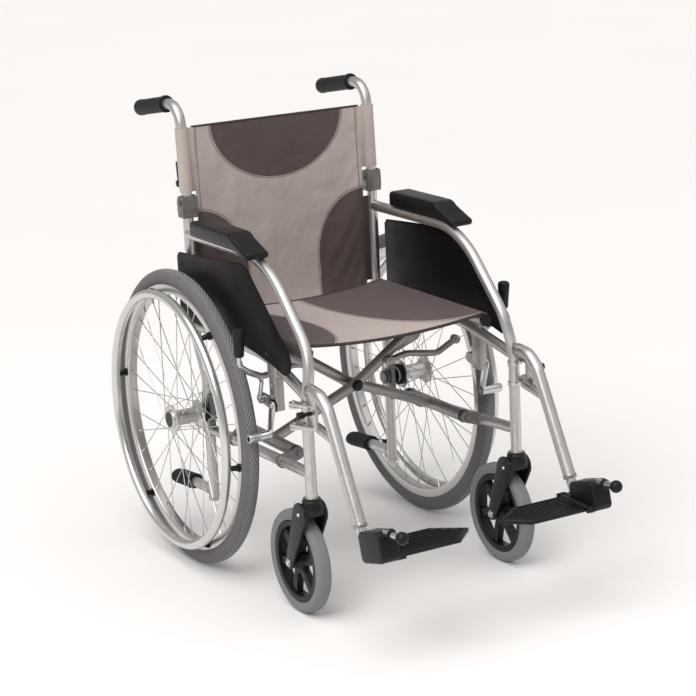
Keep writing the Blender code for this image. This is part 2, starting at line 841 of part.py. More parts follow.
def push_handle(side):
    pivot_z = back_pivot()
    x = side * REAR_X
    bend_y = REAR_TOP_Y + 0.008
    post = tube(
        [
            ((x, REAR_TOP_Y, pivot_z), 0),
            ((x, bend_y, BACK_TOP_Z), 0.045),
            ((x, GRIP_Y, BACK_TOP_Z - 0.004), 0.0),
        ],
        TUBE_R,
        steps=5,
    )
    core_end = grip_point(side, GRIP_LENGTH * 0.6)
    core = rod(grip_point(side, -0.004), core_end, TUBE_R, sides=8)
    knuckle = rod(
        (x - TUBE_R - 0.0008, REAR_TOP_Y, pivot_z),
        (x + TUBE_R + 0.0008, REAR_TOP_Y, pivot_z),
        TUBE_R + 0.0005,
    )
    hole = rod((x - 0.03, REAR_TOP_Y, pivot_z), (x + 0.03, REAR_TOP_Y, pivot_z), 0.004 + RUN)
    return cut(union(post, knuckle, core), hole)


def grip_point(side, distance):
    """A point on the line of the push handle's grip, from where the grip starts."""
    angle = math.atan2(GRIP_DROP, GRIP_LENGTH)
    return Vector((
        side * REAR_X,
        GRIP_Y + distance * math.cos(angle),
        BACK_TOP_Z - 0.004 - distance * math.sin(angle),
    ))


def push_grip(side):
    shell = rod(grip_point(side, 0.001), grip_point(side, GRIP_LENGTH), GRIP_R, 0.0155, sides=14)
    bore_r = TUBE_R / math.cos(math.pi / 10) + GAP / 10
    bore = rod(grip_point(side, -0.01), grip_point(side, GRIP_LENGTH * 0.6 + GAP), bore_r)
    return cut(shell, bore)


def latch_place():
    """The back latch's pivot, behind the upper post."""
    return (REAR_TOP_Y + TUBE_R + 0.0105, back_pivot() + 0.036)


def back_latch(side):
    y, z = latch_place()
    x = side * REAR_X
    barrel = rod((x - 0.010, y, z), (x + 0.010, y, z), 0.007)
    lever = plate([capsule((y, z), (y + 0.006, z + 0.040), 0.006, 0.0045)], 0.012, (x, 0, 0), "YZ")
    return union(barrel, lever)


# ---- tipping lever --------------------------------------------------------------------
def tip_lever(side):
    x = side * REAR_X
    start = (x, REAR_LOW_Y, REAR_LOW_Z + 0.020)
    end = (x, 0.090, REAR_LOW_Z + 0.016)
    tip = (x, 0.190, REAR_LOW_Z + 0.009)
    pipe = union(rod(start, end, TUBE_R), rod(end, tip, 0.014, 0.0135))
    return cope(pipe, side, REAR_X, REAR_LOW_Y, TUBE_R)


# ---- brake ----------------------------------------------------------------------------
def brake_mount(side):
    py, pz = BRAKE_PIVOT
    sy, sz = SHOE_PIVOT
    top = SIDE_TUBE_Z - TUBE_R - 0.015
    inner, outer = ARM_X + 0.004, BRAKE_X - LEVER_R - GAP
    hanger = box_x(side, inner, outer, sy - 0.012, sy + 0.018, sz - 0.010, top)
    arm = plate(
        [capsule((sy, sz), (py, pz), 0.013, 0.011)],
        0.005,
        (side * (outer - 0.0025), 0, 0),
        "YZ",
    )
    pins = [
        rod((side * (outer - 0.002), y, z), (side * (BRAKE_X + 0.0045), y, z), 0.0035)
        for y, z in (BRAKE_PIVOT, SHOE_PIVOT)
    ]
    return union(hanger, arm, *pins)


def shoe_place():
    """The brake shoe's centre, just ahead of the tyre."""
    reach = WHEEL_R + SHOE_R + SHOE_GAP
    return (-math.sqrt(reach ** 2 - (SHOE_Z - WHEEL_R) ** 2), SHOE_Z)


def brake_shoe(side):
    sy, sz = SHOE_PIVOT
    y, z = shoe_place()
    strap = plate([capsule((sy, sz), (y, z), 0.010, 0.0075)], 0.004, (side * BRAKE_X, 0, 0), "YZ")
    shoe = rod((side * (BRAKE_X - 0.002), y, z), (side * (WHEEL_X + 0.016), y, z), SHOE_R)
    hole = rod(
        (side * (BRAKE_X - 0.02), sy, sz), (side * (BRAKE_X + 0.02), sy, sz), 0.0035 + RUN
    )
    return cut(union(strap, shoe), hole)


def brake_grip_line(side):
    low = Vector((side * 0.300, BRAKE_PIVOT[0] - 0.034, BRAKE_PIVOT[1] + 0.100))
    high = low + Vector((0, -0.004, 0.055))
    return low, high


def brake_lever(side):
    py, pz = BRAKE_PIVOT
    low, high = brake_grip_line(side)
    disc = rod(
        (side * (BRAKE_X - LEVER_R), py, pz), (side * (BRAKE_X + 0.002), py, pz), 0.010
    )
    arm = tube(
        [
            ((side * BRAKE_X, py, pz + 0.003), 0),
            ((side * BRAKE_X, py - 0.013, pz + 0.042), 0.02),
            ((low.x, low.y + 0.001, low.z - 0.018), 0.012),
            (low.lerp(high, 0.7), 0),
        ],
        LEVER_R,
        steps=2,
        detail=1,
    )
    hole = rod(
        (side * (BRAKE_X - 0.02), py, pz), (side * (BRAKE_X + 0.02), py, pz), 0.0035 + RUN
    )
    return cut(union(disc, arm), hole)


def brake_grip(side):
    low, high = brake_grip_line(side)
    shell = rod(low, high, 0.0105, 0.0125)
    bore = rod(low.lerp(high, -0.3), low.lerp(high, 0.72), LEVER_R + 2 * GAP, sides=10)
    return cut(shell, bore)


# ---- footrest -------------------------------------------------------------------------
def hanger_direction():
    """Direction of the hanger's straight lower length, downward."""
    bend = hanger_bend()
    return Vector((0, HANGER_END[0] - bend.y, HANGER_END[1] - bend.z)).normalized()


def hanger_bend():
    return Vector((0, HANGER_BEND_Y, HANGER_TOP_Z - 0.022))


def hanger(side):
    x = side * FRONT_X
    bend = hanger_bend()
    end = Vector((x, HANGER_END[0], HANGER_END[1]))
    pipe = tube(
        [
            ((x, FRONT_Y - TUBE_R - GAP, HANGER_TOP_Z), 0),
            ((x, FRONT_Y - 0.050, HANGER_TOP_Z), 0.040),
            ((x, bend.y, bend.z), 0.045),
            (end, 0),
        ],
        HANGER_R,
        steps=4,
    )
    pin_x, pin_y = HANGER_PIN
    web_x, web_y = FRONT_X + 0.010, FRONT_Y - 0.040
    pieces = [
        box_x(side, web_x - 0.004, web_x + 0.002, web_y - 0.016, web_y + 0.012,
              TAB_Z[1] - TAB_T / 2, HANGER_TOP_Z)
    ]
    for z in TAB_Z:
        pieces.append(
            plate(
                [capsule((side * pin_x, pin_y), (side * web_x, web_y), 0.009, 0.007)],
                TAB_T,
                (0, 0, z),
                "XY",
            )
        )
    strut_z = TAB_Z[1]
    pieces.append(
        tube([((x, web_y + 0.006, strut_z), 0), ((x, HANGER_BEND_Y - 0.028, strut_z - 0.012), 0)],
             0.009)
    )
    down = hanger_direction()
    bore = rod(end + down * 0.01, end - down * (EXTENSION_IN + 0.005), EXTENSION_R + RUN)
    pin_holes = rod(
        (side * pin_x, pin_y, TAB_Z[1] - 0.02), (side * pin_x, pin_y, TAB_Z[0] + 0.02),
        0.004 + RUN,
    )
    return cut(union(pipe, *pieces), bore, pin_holes)


def hanger_latch(side):
    """Small release lever on top of the upper hanger tab."""
    x, y = side * (FRONT_X + 0.036), FRONT_Y - 0.040
    z = TAB_Z[0]
    post = rod((side * (FRONT_X + 0.0128), y, z - 0.012), (x, y, z - 0.012), 0.004)
    knob = ball((x, y, z - 0.012), 0.007)
    return union(post, knob)


def pitched(piece):
    """Tilts a piece that is drawn level about the middle of the foot block."""
    middle = Matrix.Translation((0.0, *BLOCK_MIDDLE))
    turn = Matrix.Rotation(-math.radians(BLOCK_TILT), 4, "X")
    piece.matrix_basis = middle @ turn @ middle.inverted() @ piece.matrix_basis
    return piece


def foot_block(side):
    """The tilted block with cut-off corners, and the ears and pin of the footplate."""
    mid_y, mid_z = BLOCK_MIDDLE
    axis_x, axis_z = PLATE_AXIS
    long, tall, cut_off = BLOCK_LENGTH / 2, BLOCK_HEIGHT / 2, BLOCK_HEIGHT * 0.15
    outline = []
    for u, v in ((1, 1), (1, -1), (-1, -1), (-1, 1)):
        pair = [(u * long, v * (tall - cut_off)), (u * (long - cut_off), v * tall)]
        outline += pair[::-1] if u * v > 0 else pair
    outline = [(mid_y + y, mid_z + z) for y, z in outline]
    block = pitched(plate([outline], BLOCK_WIDTH, (side * FRONT_X, 0, 0), "YZ"))
    pin_ends = (PLATE_FRONT_Y - EAR_T, PLATE_REAR_Y + EAR_T)
    inner_face = FRONT_X - BLOCK_WIDTH / 2
    ears = [
        box_x(side, axis_x - PLATE_KNUCKLE_R, inner_face + EAR_T, y - EAR_T / 2,
              y + EAR_T / 2, axis_z - PLATE_KNUCKLE_R, axis_z + PLATE_KNUCKLE_R)
        for y in pin_ends
    ]
    inset = EAR_T / 5
    sill = box_x(side, inner_face + inset, FRONT_X, pin_ends[0], pin_ends[1],
                 axis_z - PLATE_KNUCKLE_R + inset, axis_z + EAR_T)
    ends = [(side * axis_x, y, axis_z) for y in pin_ends]
    return union(block, sill, *ears, rod(*ends, PLATE_PIN_R))


def foot_extension(side):
    x = side * FRONT_X
    down = hanger_direction()
    end = Vector((x, *HANGER_END))
    inner = rod(end - down * EXTENSION_IN, end + down * EXTENSION_OUT, EXTENSION_R)
    knob = Vector((x, KNOB_R - FRONT_REACH, KNOB_Z))
    neck = rod((x, BLOCK_MIDDLE[0], KNOB_Z - NECK_RISE), knob, NECK_R)
    return union(foot_block(side), inner, neck, ball(knob, KNOB_R))


def footplate(side):
    axis_x, axis_z = PLATE_AXIS
    rear, front = PLATE_REAR_Y, PLATE_FRONT_Y
    outline = [
        (side * axis_x, rear),
        (side * (PLATE_TIP_X + 0.060), rear),
        (side * PLATE_TIP_X, (rear + front) / 2),
        (side * (PLATE_TIP_X + 0.045), front),
        (side * axis_x, front),
    ]
    slab = plate([outline], PLATE_T, (0, 0, axis_z - 0.0005), "XY")
    ends = [(side * axis_x, y, axis_z) for y in (rear, front)]
    knuckle = rod(*ends, PLATE_KNUCKLE_R)
    hole = rod((side * axis_x, rear + EAR_T, axis_z), (side * axis_x, front - EAR_T, axis_z),
               PLATE_PIN_R + RUN)
    return cut(union(slab, knuckle), hole)


# ---- assembly -------------------------------------------------------------------------
def build_side(word, side, frame):
    """One side of the chair, on the empty of its side frame."""

    def on(name, x, y, z, parent=frame):
        return make_empty(f"{word}_{name}_axis", (side * x, y, z), parent)

    finish(front_post_arm_tube(side), f"{word}_front_post_arm_tube", "satin_silver", frame)
    finish(rear_post(side), f"{word}_rear_post", "satin_silver", frame)
    finish(seat_side_tube(side), f"{word}_seat_side_tube", "satin_silver", frame)
    finish(lower_rail(side), f"{word}_lower_rail", "satin_silver", frame)
    finish(skirt_guard(side), f"{word}_skirt_guard", "black_vinyl", frame)
    finish(arm_pad(side), f"{word}_arm_pad", "black_vinyl", frame)
    finish(tip_lever(side), f"{word}_tip_lever", "satin_silver", frame)

    wheel = on("rear_wheel", WHEEL_X, 0.0, WHEEL_R)
    finish(rear_tyre(side), f"{word}_rear_tyre", "grey_tyre", wheel)
    finish(rear_rim(side), f"{word}_rear_rim", "wheel_silver", wheel)
    finish(rear_hub(side), f"{word}_rear_hub", "wheel_silver", wheel)
    finish(handrim(side), f"{word}_handrim", "wheel_silver", wheel)

    swivel = on("caster_swivel", FRONT_X, FRONT_Y, FRONT_POST_Z)
    finish(caster_fork(side), f"{word}_caster_fork", "black_plastic", swivel)
    roll = on("caster_wheel", FRONT_X, FRONT_Y + CASTER_TRAIL, CASTER_R, swivel)
    finish(caster_wheel(side), f"{word}_caster_wheel", "black_plastic", roll)
    finish(caster_tyre(side), f"{word}_caster_tyre", "caster_tyre", roll)

    finish(brake_mount(side), f"{word}_brake_mount", "dark_silver", frame)
    lever = on("brake_lever", BRAKE_X, *BRAKE_PIVOT)
    finish(brake_lever(side), f"{word}_brake_lever", "satin_silver", lever)
    finish(brake_grip(side), f"{word}_brake_grip", "black_plastic", lever)
    shoe = on("brake_shoe", BRAKE_X, *SHOE_PIVOT)
    finish(brake_shoe(side), f"{word}_brake_shoe", "satin_silver", shoe)

    finish(back_hinge_bracket(side), f"{word}_back_hinge_bracket", "dark_silver", frame)
    back = on("upper_back", REAR_X, REAR_TOP_Y, back_pivot())
    finish(push_handle(side), f"{word}_push_handle", "satin_silver", back)
    finish(push_grip(side), f"{word}_push_grip", "black_foam", back)
    latch = on("back_latch", REAR_X, *latch_place(), back)
    finish(back_latch(side), f"{word}_back_latch", "black_plastic", latch)

    swing = on("hanger", *HANGER_PIN, TAB_Z[0])
    finish(hanger(side), f"{word}_hanger", "satin_silver", swing)
    release = on("hanger_latch", FRONT_X, FRONT_Y - 0.040, TAB_Z[0] - 0.012, swing)
    finish(hanger_latch(side), f"{word}_hanger_latch", "dark_silver", release)
    slide = on("foot_extension", FRONT_X, *HANGER_END, swing)
    finish(foot_extension(side), f"{word}_foot_extension", "black_plastic", slide)
    flip = on("footplate", PLATE_AXIS[0], PLATE_FRONT_Y, PLATE_AXIS[1], slide)
    finish(footplate(side), f"{word}_footplate", "black_plastic", flip)

    link = on("fold_link", LINK_OUT[0], BRACE_A_Y, LINK_OUT[1])
    finish(fold_link(side), f"{word}_fold_link", "dark_silver", link)


def build():
    chair = make_empty("chair", (0, 0, 0))
    build_side("right", -1, make_empty("right_frame", (0, 0, 0), chair))
    build_side("left", 1, make_empty("left_frame", (0, 0, 0), chair))

    lower_back, upper_back = 0.500, BACK_TOP_Z - 0.047
    hinge = back_pivot()
    finish(back_panel(lower_back, hinge - 0.001, REAR_TOP_Y), "back_sling_lower",
           "taupe_fabric", chair)
    upper = make_empty("upper_back_axis", (0, REAR_TOP_Y, hinge), chair)
    finish(back_panel(hinge + 0.001, upper_back, REAR_TOP_Y), "back_sling_upper",
           "taupe_fabric", upper)

    brace_a = make_empty("brace_a_axis", (-FOOT_X, BRACE_A_Y, FOOT_Z), chair)
    finish(brace(-1, BRACE_A_Y), "brace_a", "dark_silver", brace_a)
    finish(centre_bolt(), "centre_bolt", "black_plastic", brace_a)
    brace_b = make_empty("brace_b_axis", tuple(brace_middle(BRACE_B_Y)), brace_a)
    finish(brace(1, BRACE_B_Y), "brace_b", "dark_silver", brace_b)
    finish(seat_sling(), "seat_sling", "taupe_fabric", brace_a)

    chair.location.y = AXLE_BACK


clear_scene()
PLACES = {}
PARTS = new_collection("manual_wheelchair")
CUTTERS = new_collection("cutters")
build()
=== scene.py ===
# %% [markdown]
# # A folding wheelchair, piece by piece
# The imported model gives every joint, axis and size. This lesson dresses it: each piece is
# modelled at its real place, rides on the body that carries it, and gets its own finish.
# Units are metres, +Z is up, the chair faces -Y and its right-hand side is -X.

import json
import math

import bmesh
import bpy
from mathutils import Matrix, Vector


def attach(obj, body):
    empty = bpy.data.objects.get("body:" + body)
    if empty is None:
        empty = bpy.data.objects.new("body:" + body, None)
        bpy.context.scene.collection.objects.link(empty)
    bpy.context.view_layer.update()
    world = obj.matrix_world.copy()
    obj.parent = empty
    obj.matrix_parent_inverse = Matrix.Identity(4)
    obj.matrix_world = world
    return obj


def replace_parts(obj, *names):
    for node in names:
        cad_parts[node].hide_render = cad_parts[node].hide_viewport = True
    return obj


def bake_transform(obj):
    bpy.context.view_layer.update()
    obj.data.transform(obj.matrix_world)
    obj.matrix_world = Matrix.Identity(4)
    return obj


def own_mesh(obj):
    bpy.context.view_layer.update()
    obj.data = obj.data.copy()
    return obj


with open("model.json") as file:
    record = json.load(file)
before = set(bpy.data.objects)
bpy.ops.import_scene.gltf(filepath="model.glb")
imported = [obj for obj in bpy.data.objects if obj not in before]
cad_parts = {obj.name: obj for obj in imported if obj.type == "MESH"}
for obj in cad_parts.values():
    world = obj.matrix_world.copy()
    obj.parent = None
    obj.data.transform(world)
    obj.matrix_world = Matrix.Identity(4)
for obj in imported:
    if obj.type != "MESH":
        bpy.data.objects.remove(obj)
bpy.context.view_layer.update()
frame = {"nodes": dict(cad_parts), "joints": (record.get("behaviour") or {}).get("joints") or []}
JOINTS = {joint["name"]: joint for joint in frame["joints"]}
SIDES = (("right", -1), ("left", 1))

# %% [markdown]
# ## Sizes
# The rear axle is the chair's natural datum, as it is on a workshop drawing. Points below
# are given as x from the middle plane, y from the axle and z from the floor, and the
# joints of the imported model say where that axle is.

# %% Datum and sizes
AXLE = Vector(JOINTS["left_wheel_spin"]["pos_m"])
TUBE_R = 0.011
WHEEL_X = AXLE.x
FRONT = Vector(JOINTS["left_caster_swivel"]["pos_m"])
FRONT_X, FRONT_Y = FRONT.x, FRONT.y - AXLE.y
CASTER = Vector(JOINTS["left_caster_spin"]["pos_m"])
CASTER_R = CASTER.z
REAR_X = JOINTS["left_back_fold"]["pos_m"][0]
BACK_Y = JOINTS["left_back_fold"]["pos_m"][1] - AXLE.y
BACK_PIVOT_Z = JOINTS["left_back_fold"]["pos_m"][2]
FOOT_X, FOOT_Z = JOINTS["left_foot_pivot"]["pos_m"][0], JOINTS["left_foot_pivot"]["pos_m"][2]
ARM_X, ARM_Z = 0.218, 0.672
CLOTH_SMOOTH = 60  # degrees; cloth and pads shade smoothly over softer folds than metal does
SEAT_RAIL_X, SEAT_RAIL_Z = 0.200, 0.508
SEAT_FRONT_Y, SEAT_REAR_Y = -0.410, -0.002
BRACE_Y = {"brace_a": -0.226, "brace_b": -0.200}
TAB_Z = (0.432, 0.391)
TAB_PIN_X, TAB_PIN_Y = 0.258, -0.450
HANGER_END = (-0.635, 0.236)
BLOCK_MIDDLE, BLOCK_TILT = (-0.699, 0.219), 15.0


def at(x, y, z):
    """A point from its distances to the middle plane, the rear axle and the floor."""
    return Vector((x, y + AXLE.y, z))


print("axle at", tuple(round(v, 4) for v in AXLE))

# %% [markdown]
# ## Workshop helpers
# Blender's operators act on whatever is selected, and the loaded model starts selected,
# so each helper clears the selection first. Every piece ends at the origin with its place
# in its mesh, which keeps patterns on object coordinates still when it moves.

# %% Selecting and settling


def clear():
    """Object mode with nothing selected."""
    if bpy.context.object and bpy.context.object.mode != "OBJECT":
        bpy.ops.object.mode_set(mode="OBJECT")
    bpy.ops.object.select_all(action="DESELECT")


def take(*pieces):
    """Selects pieces and makes the first one active."""
    clear()
    for piece in pieces:
        piece.select_set(True)
    bpy.context.view_layer.objects.active = pieces[0]
    return pieces[0]


def settle(piece):
    """Puts the piece's place, turn and scale into its mesh."""
    take(piece)
    bpy.ops.object.transform_apply(location=True, rotation=True, scale=True)
    return piece


def modify(piece, kind, **values):
    """Adds one modifier and applies it."""
    take(piece)
    bpy.ops.object.modifier_add(type=kind)
    step = piece.modifiers[-1]
    for key, value in values.items():
        setattr(step, key, value)
    bpy.ops.object.modifier_apply(modifier=step.name)
    return piece


def soften(piece, width, segments=2, angle=38):
    """Rounds the edges that are sharper than an angle."""
    return modify(piece, "BEVEL", width=width, segments=segments,
                  limit_method="ANGLE", angle_limit=math.radians(angle))


def joined(*pieces):
    """Several shapes as one mesh."""
    take(*pieces)
    if len(pieces) > 1:
        bpy.ops.object.join()
    return pieces[0]


def tidy_normals(piece, merge=1e-6):
    """Merges doubles and turns every face outward."""
    take(piece)
    bpy.ops.object.mode_set(mode="EDIT")
    bpy.ops.mesh.select_all(action="SELECT")
    bpy.ops.mesh.remove_doubles(threshold=merge)
    bpy.ops.mesh.normals_make_consistent(inside=False)
    bpy.ops.object.mode_set(mode="OBJECT")
    return piece


# %% [markdown]
# ## Shapes a wheelchair is made of
# Bars, bent tubes, turned rings and stamped plates make nearly the whole chair. A bar is a
# cylinder primitive, a bent tube is a curve with a round section turned into a mesh, a
# turned part is a ring of vertices spun round its axle, and a stamping is an outline that
# is filled and extruded.

# %% Bars, blocks and balls


def rod(start, end, radius, end_radius=None, sides=24):
    """A straight round bar, or a cone if the ends differ."""
    clear()
    line = end - start
    bpy.ops.mesh.primitive_cone_add(
        vertices=sides,
        radius1=radius,
        radius2=radius if end_radius is None else end_radius,
        depth=line.length,
        location=(start + end) / 2,
        rotation=line.to_track_quat("Z", "Y").to_euler(),
    )
    return settle(bpy.context.object)


def block(low, high, soft=0.0008, segments=2):
    """A block between two corners with rounded edges."""
    clear()
    bpy.ops.mesh.primitive_cube_add(size=1, location=(low + high) / 2)
    piece = bpy.context.object
    piece.scale = [abs(b - a) for a, b in zip(low, high)]
    settle(piece)
    return soften(piece, soft, segments) if soft else piece


def ball(centre, radius, squash=1.0):
    """A turned ball, flattened along its height if asked."""
    clear()
    bpy.ops.mesh.primitive_uv_sphere_add(segments=28, ring_count=16, radius=radius, location=centre)
    piece = bpy.context.object
    piece.scale.z = squash
    return settle(piece)


# %% [markdown]
# A bent tube could be a swept profile or a subdivided cylinder. A poly curve with a round
# bevel is used, because its corners can be given by radius, as a tube bender sets them.

# %% Bent tubes


def rounded(corners, steps=8):
    """Points along a path whose corners, given as (point, radius), are turned into arcs."""
    points = [corners[0][0]]
    for (before, _), (here, radius), (after, _) in zip(corners, corners[1:], corners[2:]):
        a, b = (before - here).normalized(), (after - here).normalized()
        half = math.acos(max(-1.0, min(1.0, a.dot(b)))) / 2
        if radius <= 0 or half > math.pi / 2 - 1e-3:
            points.append(here)
            continue
        back = radius / math.tan(half)
        middle = here + (a + b).normalized() * radius / math.sin(half)
        first, last = here + a * back - middle, here + b * back - middle
        turn = first.rotation_difference(last)
        for k in range(steps + 1):
            part = turn.copy()
            part.angle = turn.angle * k / steps
            points.append(middle + part @ first)
    points.append(corners[-1][0])
    return points


def pipe(corners, radius, fine=4, steps=8):
    """A bent tube along rounded corners."""
    points = rounded([(Vector(p), r) for p, r in corners], steps)
    clear()
    bpy.ops.curve.primitive_bezier_curve_add()
    curve = bpy.context.object
    curve.data.splines.clear()
    spline = curve.data.splines.new("POLY")
    spline.points.add(len(points) - 1)
    for knot, point in zip(spline.points, points):
        knot.co = (*point, 1.0)
    curve.data.bevel_depth = radius
    curve.data.bevel_resolution = fine
    curve.data.use_fill_caps = True
    bpy.ops.object.convert(target="MESH")
    return tidy_normals(settle(bpy.context.object))


# %% [markdown]
# Rings, hubs and grips are turned on a lathe or moulded round an axis, so each is a half
# section that the spin operator takes once round. The seam is merged afterwards.

# %% Turned parts


def arc(u, v, radius, start, end, steps=8):
    """Points of an arc, its angles in degrees."""
    turns = [math.radians(start + (end - start) * k / steps) for k in range(steps + 1)]
    return [(u + radius * math.cos(t), v + radius * math.sin(t)) for t in turns]


def turned(profile, centre, axis, steps=48, closed=False):
    """Spins a profile of (radius, distance along the axis) pairs round an axis."""
    axis = Vector(axis).normalized()
    across = Vector((0, 0, 1)) if abs(axis.z) < 0.9 else Vector((0, 1, 0))
    clear()
    bpy.ops.mesh.primitive_circle_add(vertices=len(profile), fill_type="NOTHING")
    piece = bpy.context.object
    for vertex, (radius, along) in zip(piece.data.vertices, profile):
        vertex.co = centre + across * radius + axis * along
    bpy.ops.object.mode_set(mode="EDIT")
    if not closed:
        bpy.ops.mesh.select_all(action="DESELECT")
        bpy.ops.mesh.select_mode(type="EDGE")
        mesh = bmesh.from_edit_mesh(piece.data)
        mesh.verts.ensure_lookup_table()
        mesh.edges.get((mesh.verts[0], mesh.verts[-1])).select_set(True)
        bmesh.update_edit_mesh(piece.data)
        bpy.ops.mesh.delete(type="EDGE_FACE")
    bpy.ops.mesh.select_all(action="SELECT")
    bpy.ops.mesh.spin(steps=steps, angle=math.tau, center=centre, axis=axis)
    bpy.ops.object.mode_set(mode="OBJECT")
    return tidy_normals(piece, 1e-5)


# %% [markdown]
# Plates, clamps and covers are outlines with a thickness. The outline lies in one of three
# planes, is filled, extruded and given soft edges, as a stamping or a moulding has.

# %% Stamped and moulded plates
PLANES = {
    "YZ": lambda u, v, w: Vector((w, u, v)),
    "XY": lambda u, v, w: Vector((u, v, w)),
    "XZ": lambda u, v, w: Vector((u, w, v)),
}


def panel(outline, thickness, middle, plane, soft=0.0006, segments=2):
    """A plate from an outline: a circle's vertices are moved onto it, filled and extruded."""
    clear()
    bpy.ops.mesh.primitive_circle_add(vertices=len(outline), fill_type="NGON")
    piece = bpy.context.object
    for vertex, (u, v) in zip(piece.data.vertices, outline):
        vertex.co = PLANES[plane](u, v, middle - thickness / 2)
    bpy.ops.object.mode_set(mode="EDIT")
    bpy.ops.mesh.select_all(action="SELECT")
    bpy.ops.mesh.extrude_region_move(
        TRANSFORM_OT_translate={"value": PLANES[plane](0, 0, thickness)}
    )
    bpy.ops.object.mode_set(mode="OBJECT")
    tidy_normals(piece)
    return soften(piece, soft, segments) if soft else piece


def capsule(a, b, radius_a, radius_b, steps=10):
    """The outline of a link with round ends, as (u, v) pairs."""
    line = Vector(b) - Vector(a)
    turn = math.degrees(math.atan2(line.y, line.x))
    lean = math.degrees(math.asin((radius_a - radius_b) / line.length))
    return (arc(*a, radius_a, turn + 90 - lean, turn + 270 + lean, steps)
            + arc(*b, radius_b, turn - 90 + lean, turn + 90 - lean, steps))


def bolt_head(centre, axis, radius, height, sides=6):
    """A bolt head or nut with a washer under it."""
    axis = Vector(axis).normalized()
    washer = rod(centre, centre + axis * height * 0.25, radius * 1.25, sides=28)
    head = soften(rod(centre + axis * height * 0.2, centre + axis * height, radius, sides=sides),
                  radius * 0.12)
    return joined(head, washer)


# %% [markdown]
# ## Finishes
# Three effects turn up again and again: a fine grain that breaks up highlights, wear that
# brightens proud edges, and a little dust on what faces up. Each is a node group that puts
# out masks and heights, and every finish blends them in its own amounts.

# %% Shared node groups


def new_group(name, inputs, outputs):
    """An empty node group with float inputs and outputs."""
    tree = bpy.data.node_groups.new(name, "ShaderNodeTree")
    for title, value in inputs:
        socket = tree.interface.new_socket(title, in_out="INPUT", socket_type="NodeSocketFloat")
        socket.default_value = value
    for title in outputs:
        tree.interface.new_socket(title, in_out="OUTPUT", socket_type="NodeSocketFloat")
    return tree, tree.nodes.new("NodeGroupInput"), tree.nodes.new("NodeGroupOutput")


def add(tree, kind, inputs=None, **settings):
    """One node with its settings, and its inputs set or linked by name or number."""
    node = tree.nodes.new(kind)
    for key, value in settings.items():
        setattr(node, key, value)
    for key, value in (inputs or {}).items():
        if isinstance(value, bpy.types.NodeSocket):
            tree.links.new(value, node.inputs[key])
        else:
            node.inputs[key].default_value = value
    return node


def math_node(tree, operation, a, b=0.0, clamp=False):
    """A Math node's output."""
    return add(tree, "ShaderNodeMath", {0: a, 1: b}, operation=operation, use_clamp=clamp).outputs[0]


def fine_grain_group():
    """A fine height, and slow patches for colour and gloss."""
    tree, inside, out = new_group(
        "fine_grain", [("Scale", 400.0), ("Patch Scale", 12.0)], ["Height", "Patches"])
    place = add(tree, "ShaderNodeTexCoord").outputs["Object"]
    small = add(tree, "ShaderNodeTexNoise", {"Vector": place, "Scale": inside.outputs[0], "Detail": 3.0})
    large = add(tree, "ShaderNodeTexNoise", {"Vector": place, "Scale": inside.outputs[1], "Detail": 4.0})
    tree.links.new(small.outputs[0], out.inputs[0])
    tree.links.new(large.outputs[0], out.inputs[1])
    return tree


def edge_wear_group():
    """Proud edges, broken up so that they look rubbed."""
    tree, inside, out = new_group("edge_wear", [("Amount", 0.5)], ["Mask"])
    place = add(tree, "ShaderNodeTexCoord").outputs["Object"]
    point = add(tree, "ShaderNodeNewGeometry").outputs["Pointiness"]
    rough = add(tree, "ShaderNodeTexNoise", {"Vector": place, "Scale": 90.0, "Detail": 5.0}).outputs[0]
    proud = add(tree, "ShaderNodeMapRange", {"Value": point, "From Min": 0.52, "From Max": 0.60}).outputs[0]
    broken = add(tree, "ShaderNodeMapRange", {"Value": rough, "From Min": 0.42, "From Max": 0.62}).outputs[0]
    mask = math_node(tree, "MULTIPLY", math_node(tree, "MULTIPLY", proud, broken), inside.outputs[0], True)
    tree.links.new(mask, out.inputs[0])
    return tree


def dust_group():
    """Dust on what faces up, in clouds."""
    tree, inside, out = new_group("settled_dust", [("Amount", 0.2)], ["Mask"])
    place = add(tree, "ShaderNodeTexCoord").outputs["Object"]
    up = add(tree, "ShaderNodeSeparateXYZ", {0: add(tree, "ShaderNodeNewGeometry").outputs["Normal"]})
    facing = add(tree, "ShaderNodeMapRange", {
        "Value": up.outputs[2], "From Min": 0.2, "From Max": 1.0}).outputs[0]
    cloud = add(tree, "ShaderNodeTexNoise", {"Vector": place, "Scale": 35.0, "Detail": 6.0}).outputs[0]
    patch = add(tree, "ShaderNodeMapRange", {"Value": cloud, "From Min": 0.35, "From Max": 0.75}).outputs[0]
    mask = math_node(tree, "MULTIPLY", math_node(tree, "MULTIPLY", facing, patch), inside.outputs[0], True)
    tree.links.new(mask, out.inputs[0])
    return tree


def weave_group():
    """Warp and weft threads on object coordinates, and slubs in the yarn."""
    tree, inside, out = new_group("plain_weave", [("Threads", 900.0)], ["Height", "Shade"])
    place = add(tree, "ShaderNodeTexCoord").outputs["Object"]
    split = add(tree, "ShaderNodeSeparateXYZ", {0: place})
    down = math_node(tree, "ADD", split.outputs[1], split.outputs[2])
    warp = math_node(tree, "SINE", math_node(tree, "MULTIPLY", split.outputs[0], inside.outputs[0]))
    weft = math_node(tree, "SINE", math_node(tree, "MULTIPLY", down, inside.outputs[0]))
    height = math_node(tree, "MULTIPLY", warp, weft)
    slub = add(tree, "ShaderNodeTexNoise", {"Vector": place, "Scale": 260.0, "Detail": 4.0}).outputs[0]
    tree.links.new(math_node(tree, "MULTIPLY_ADD", height, 0.5), out.inputs[0])
    tree.links.new(slub, out.inputs[1])
    return tree


GRAIN, WEAR, DUST, WEAVE = fine_grain_group(), edge_wear_group(), dust_group(), weave_group()
print("groups:", [g.name for g in bpy.data.node_groups])

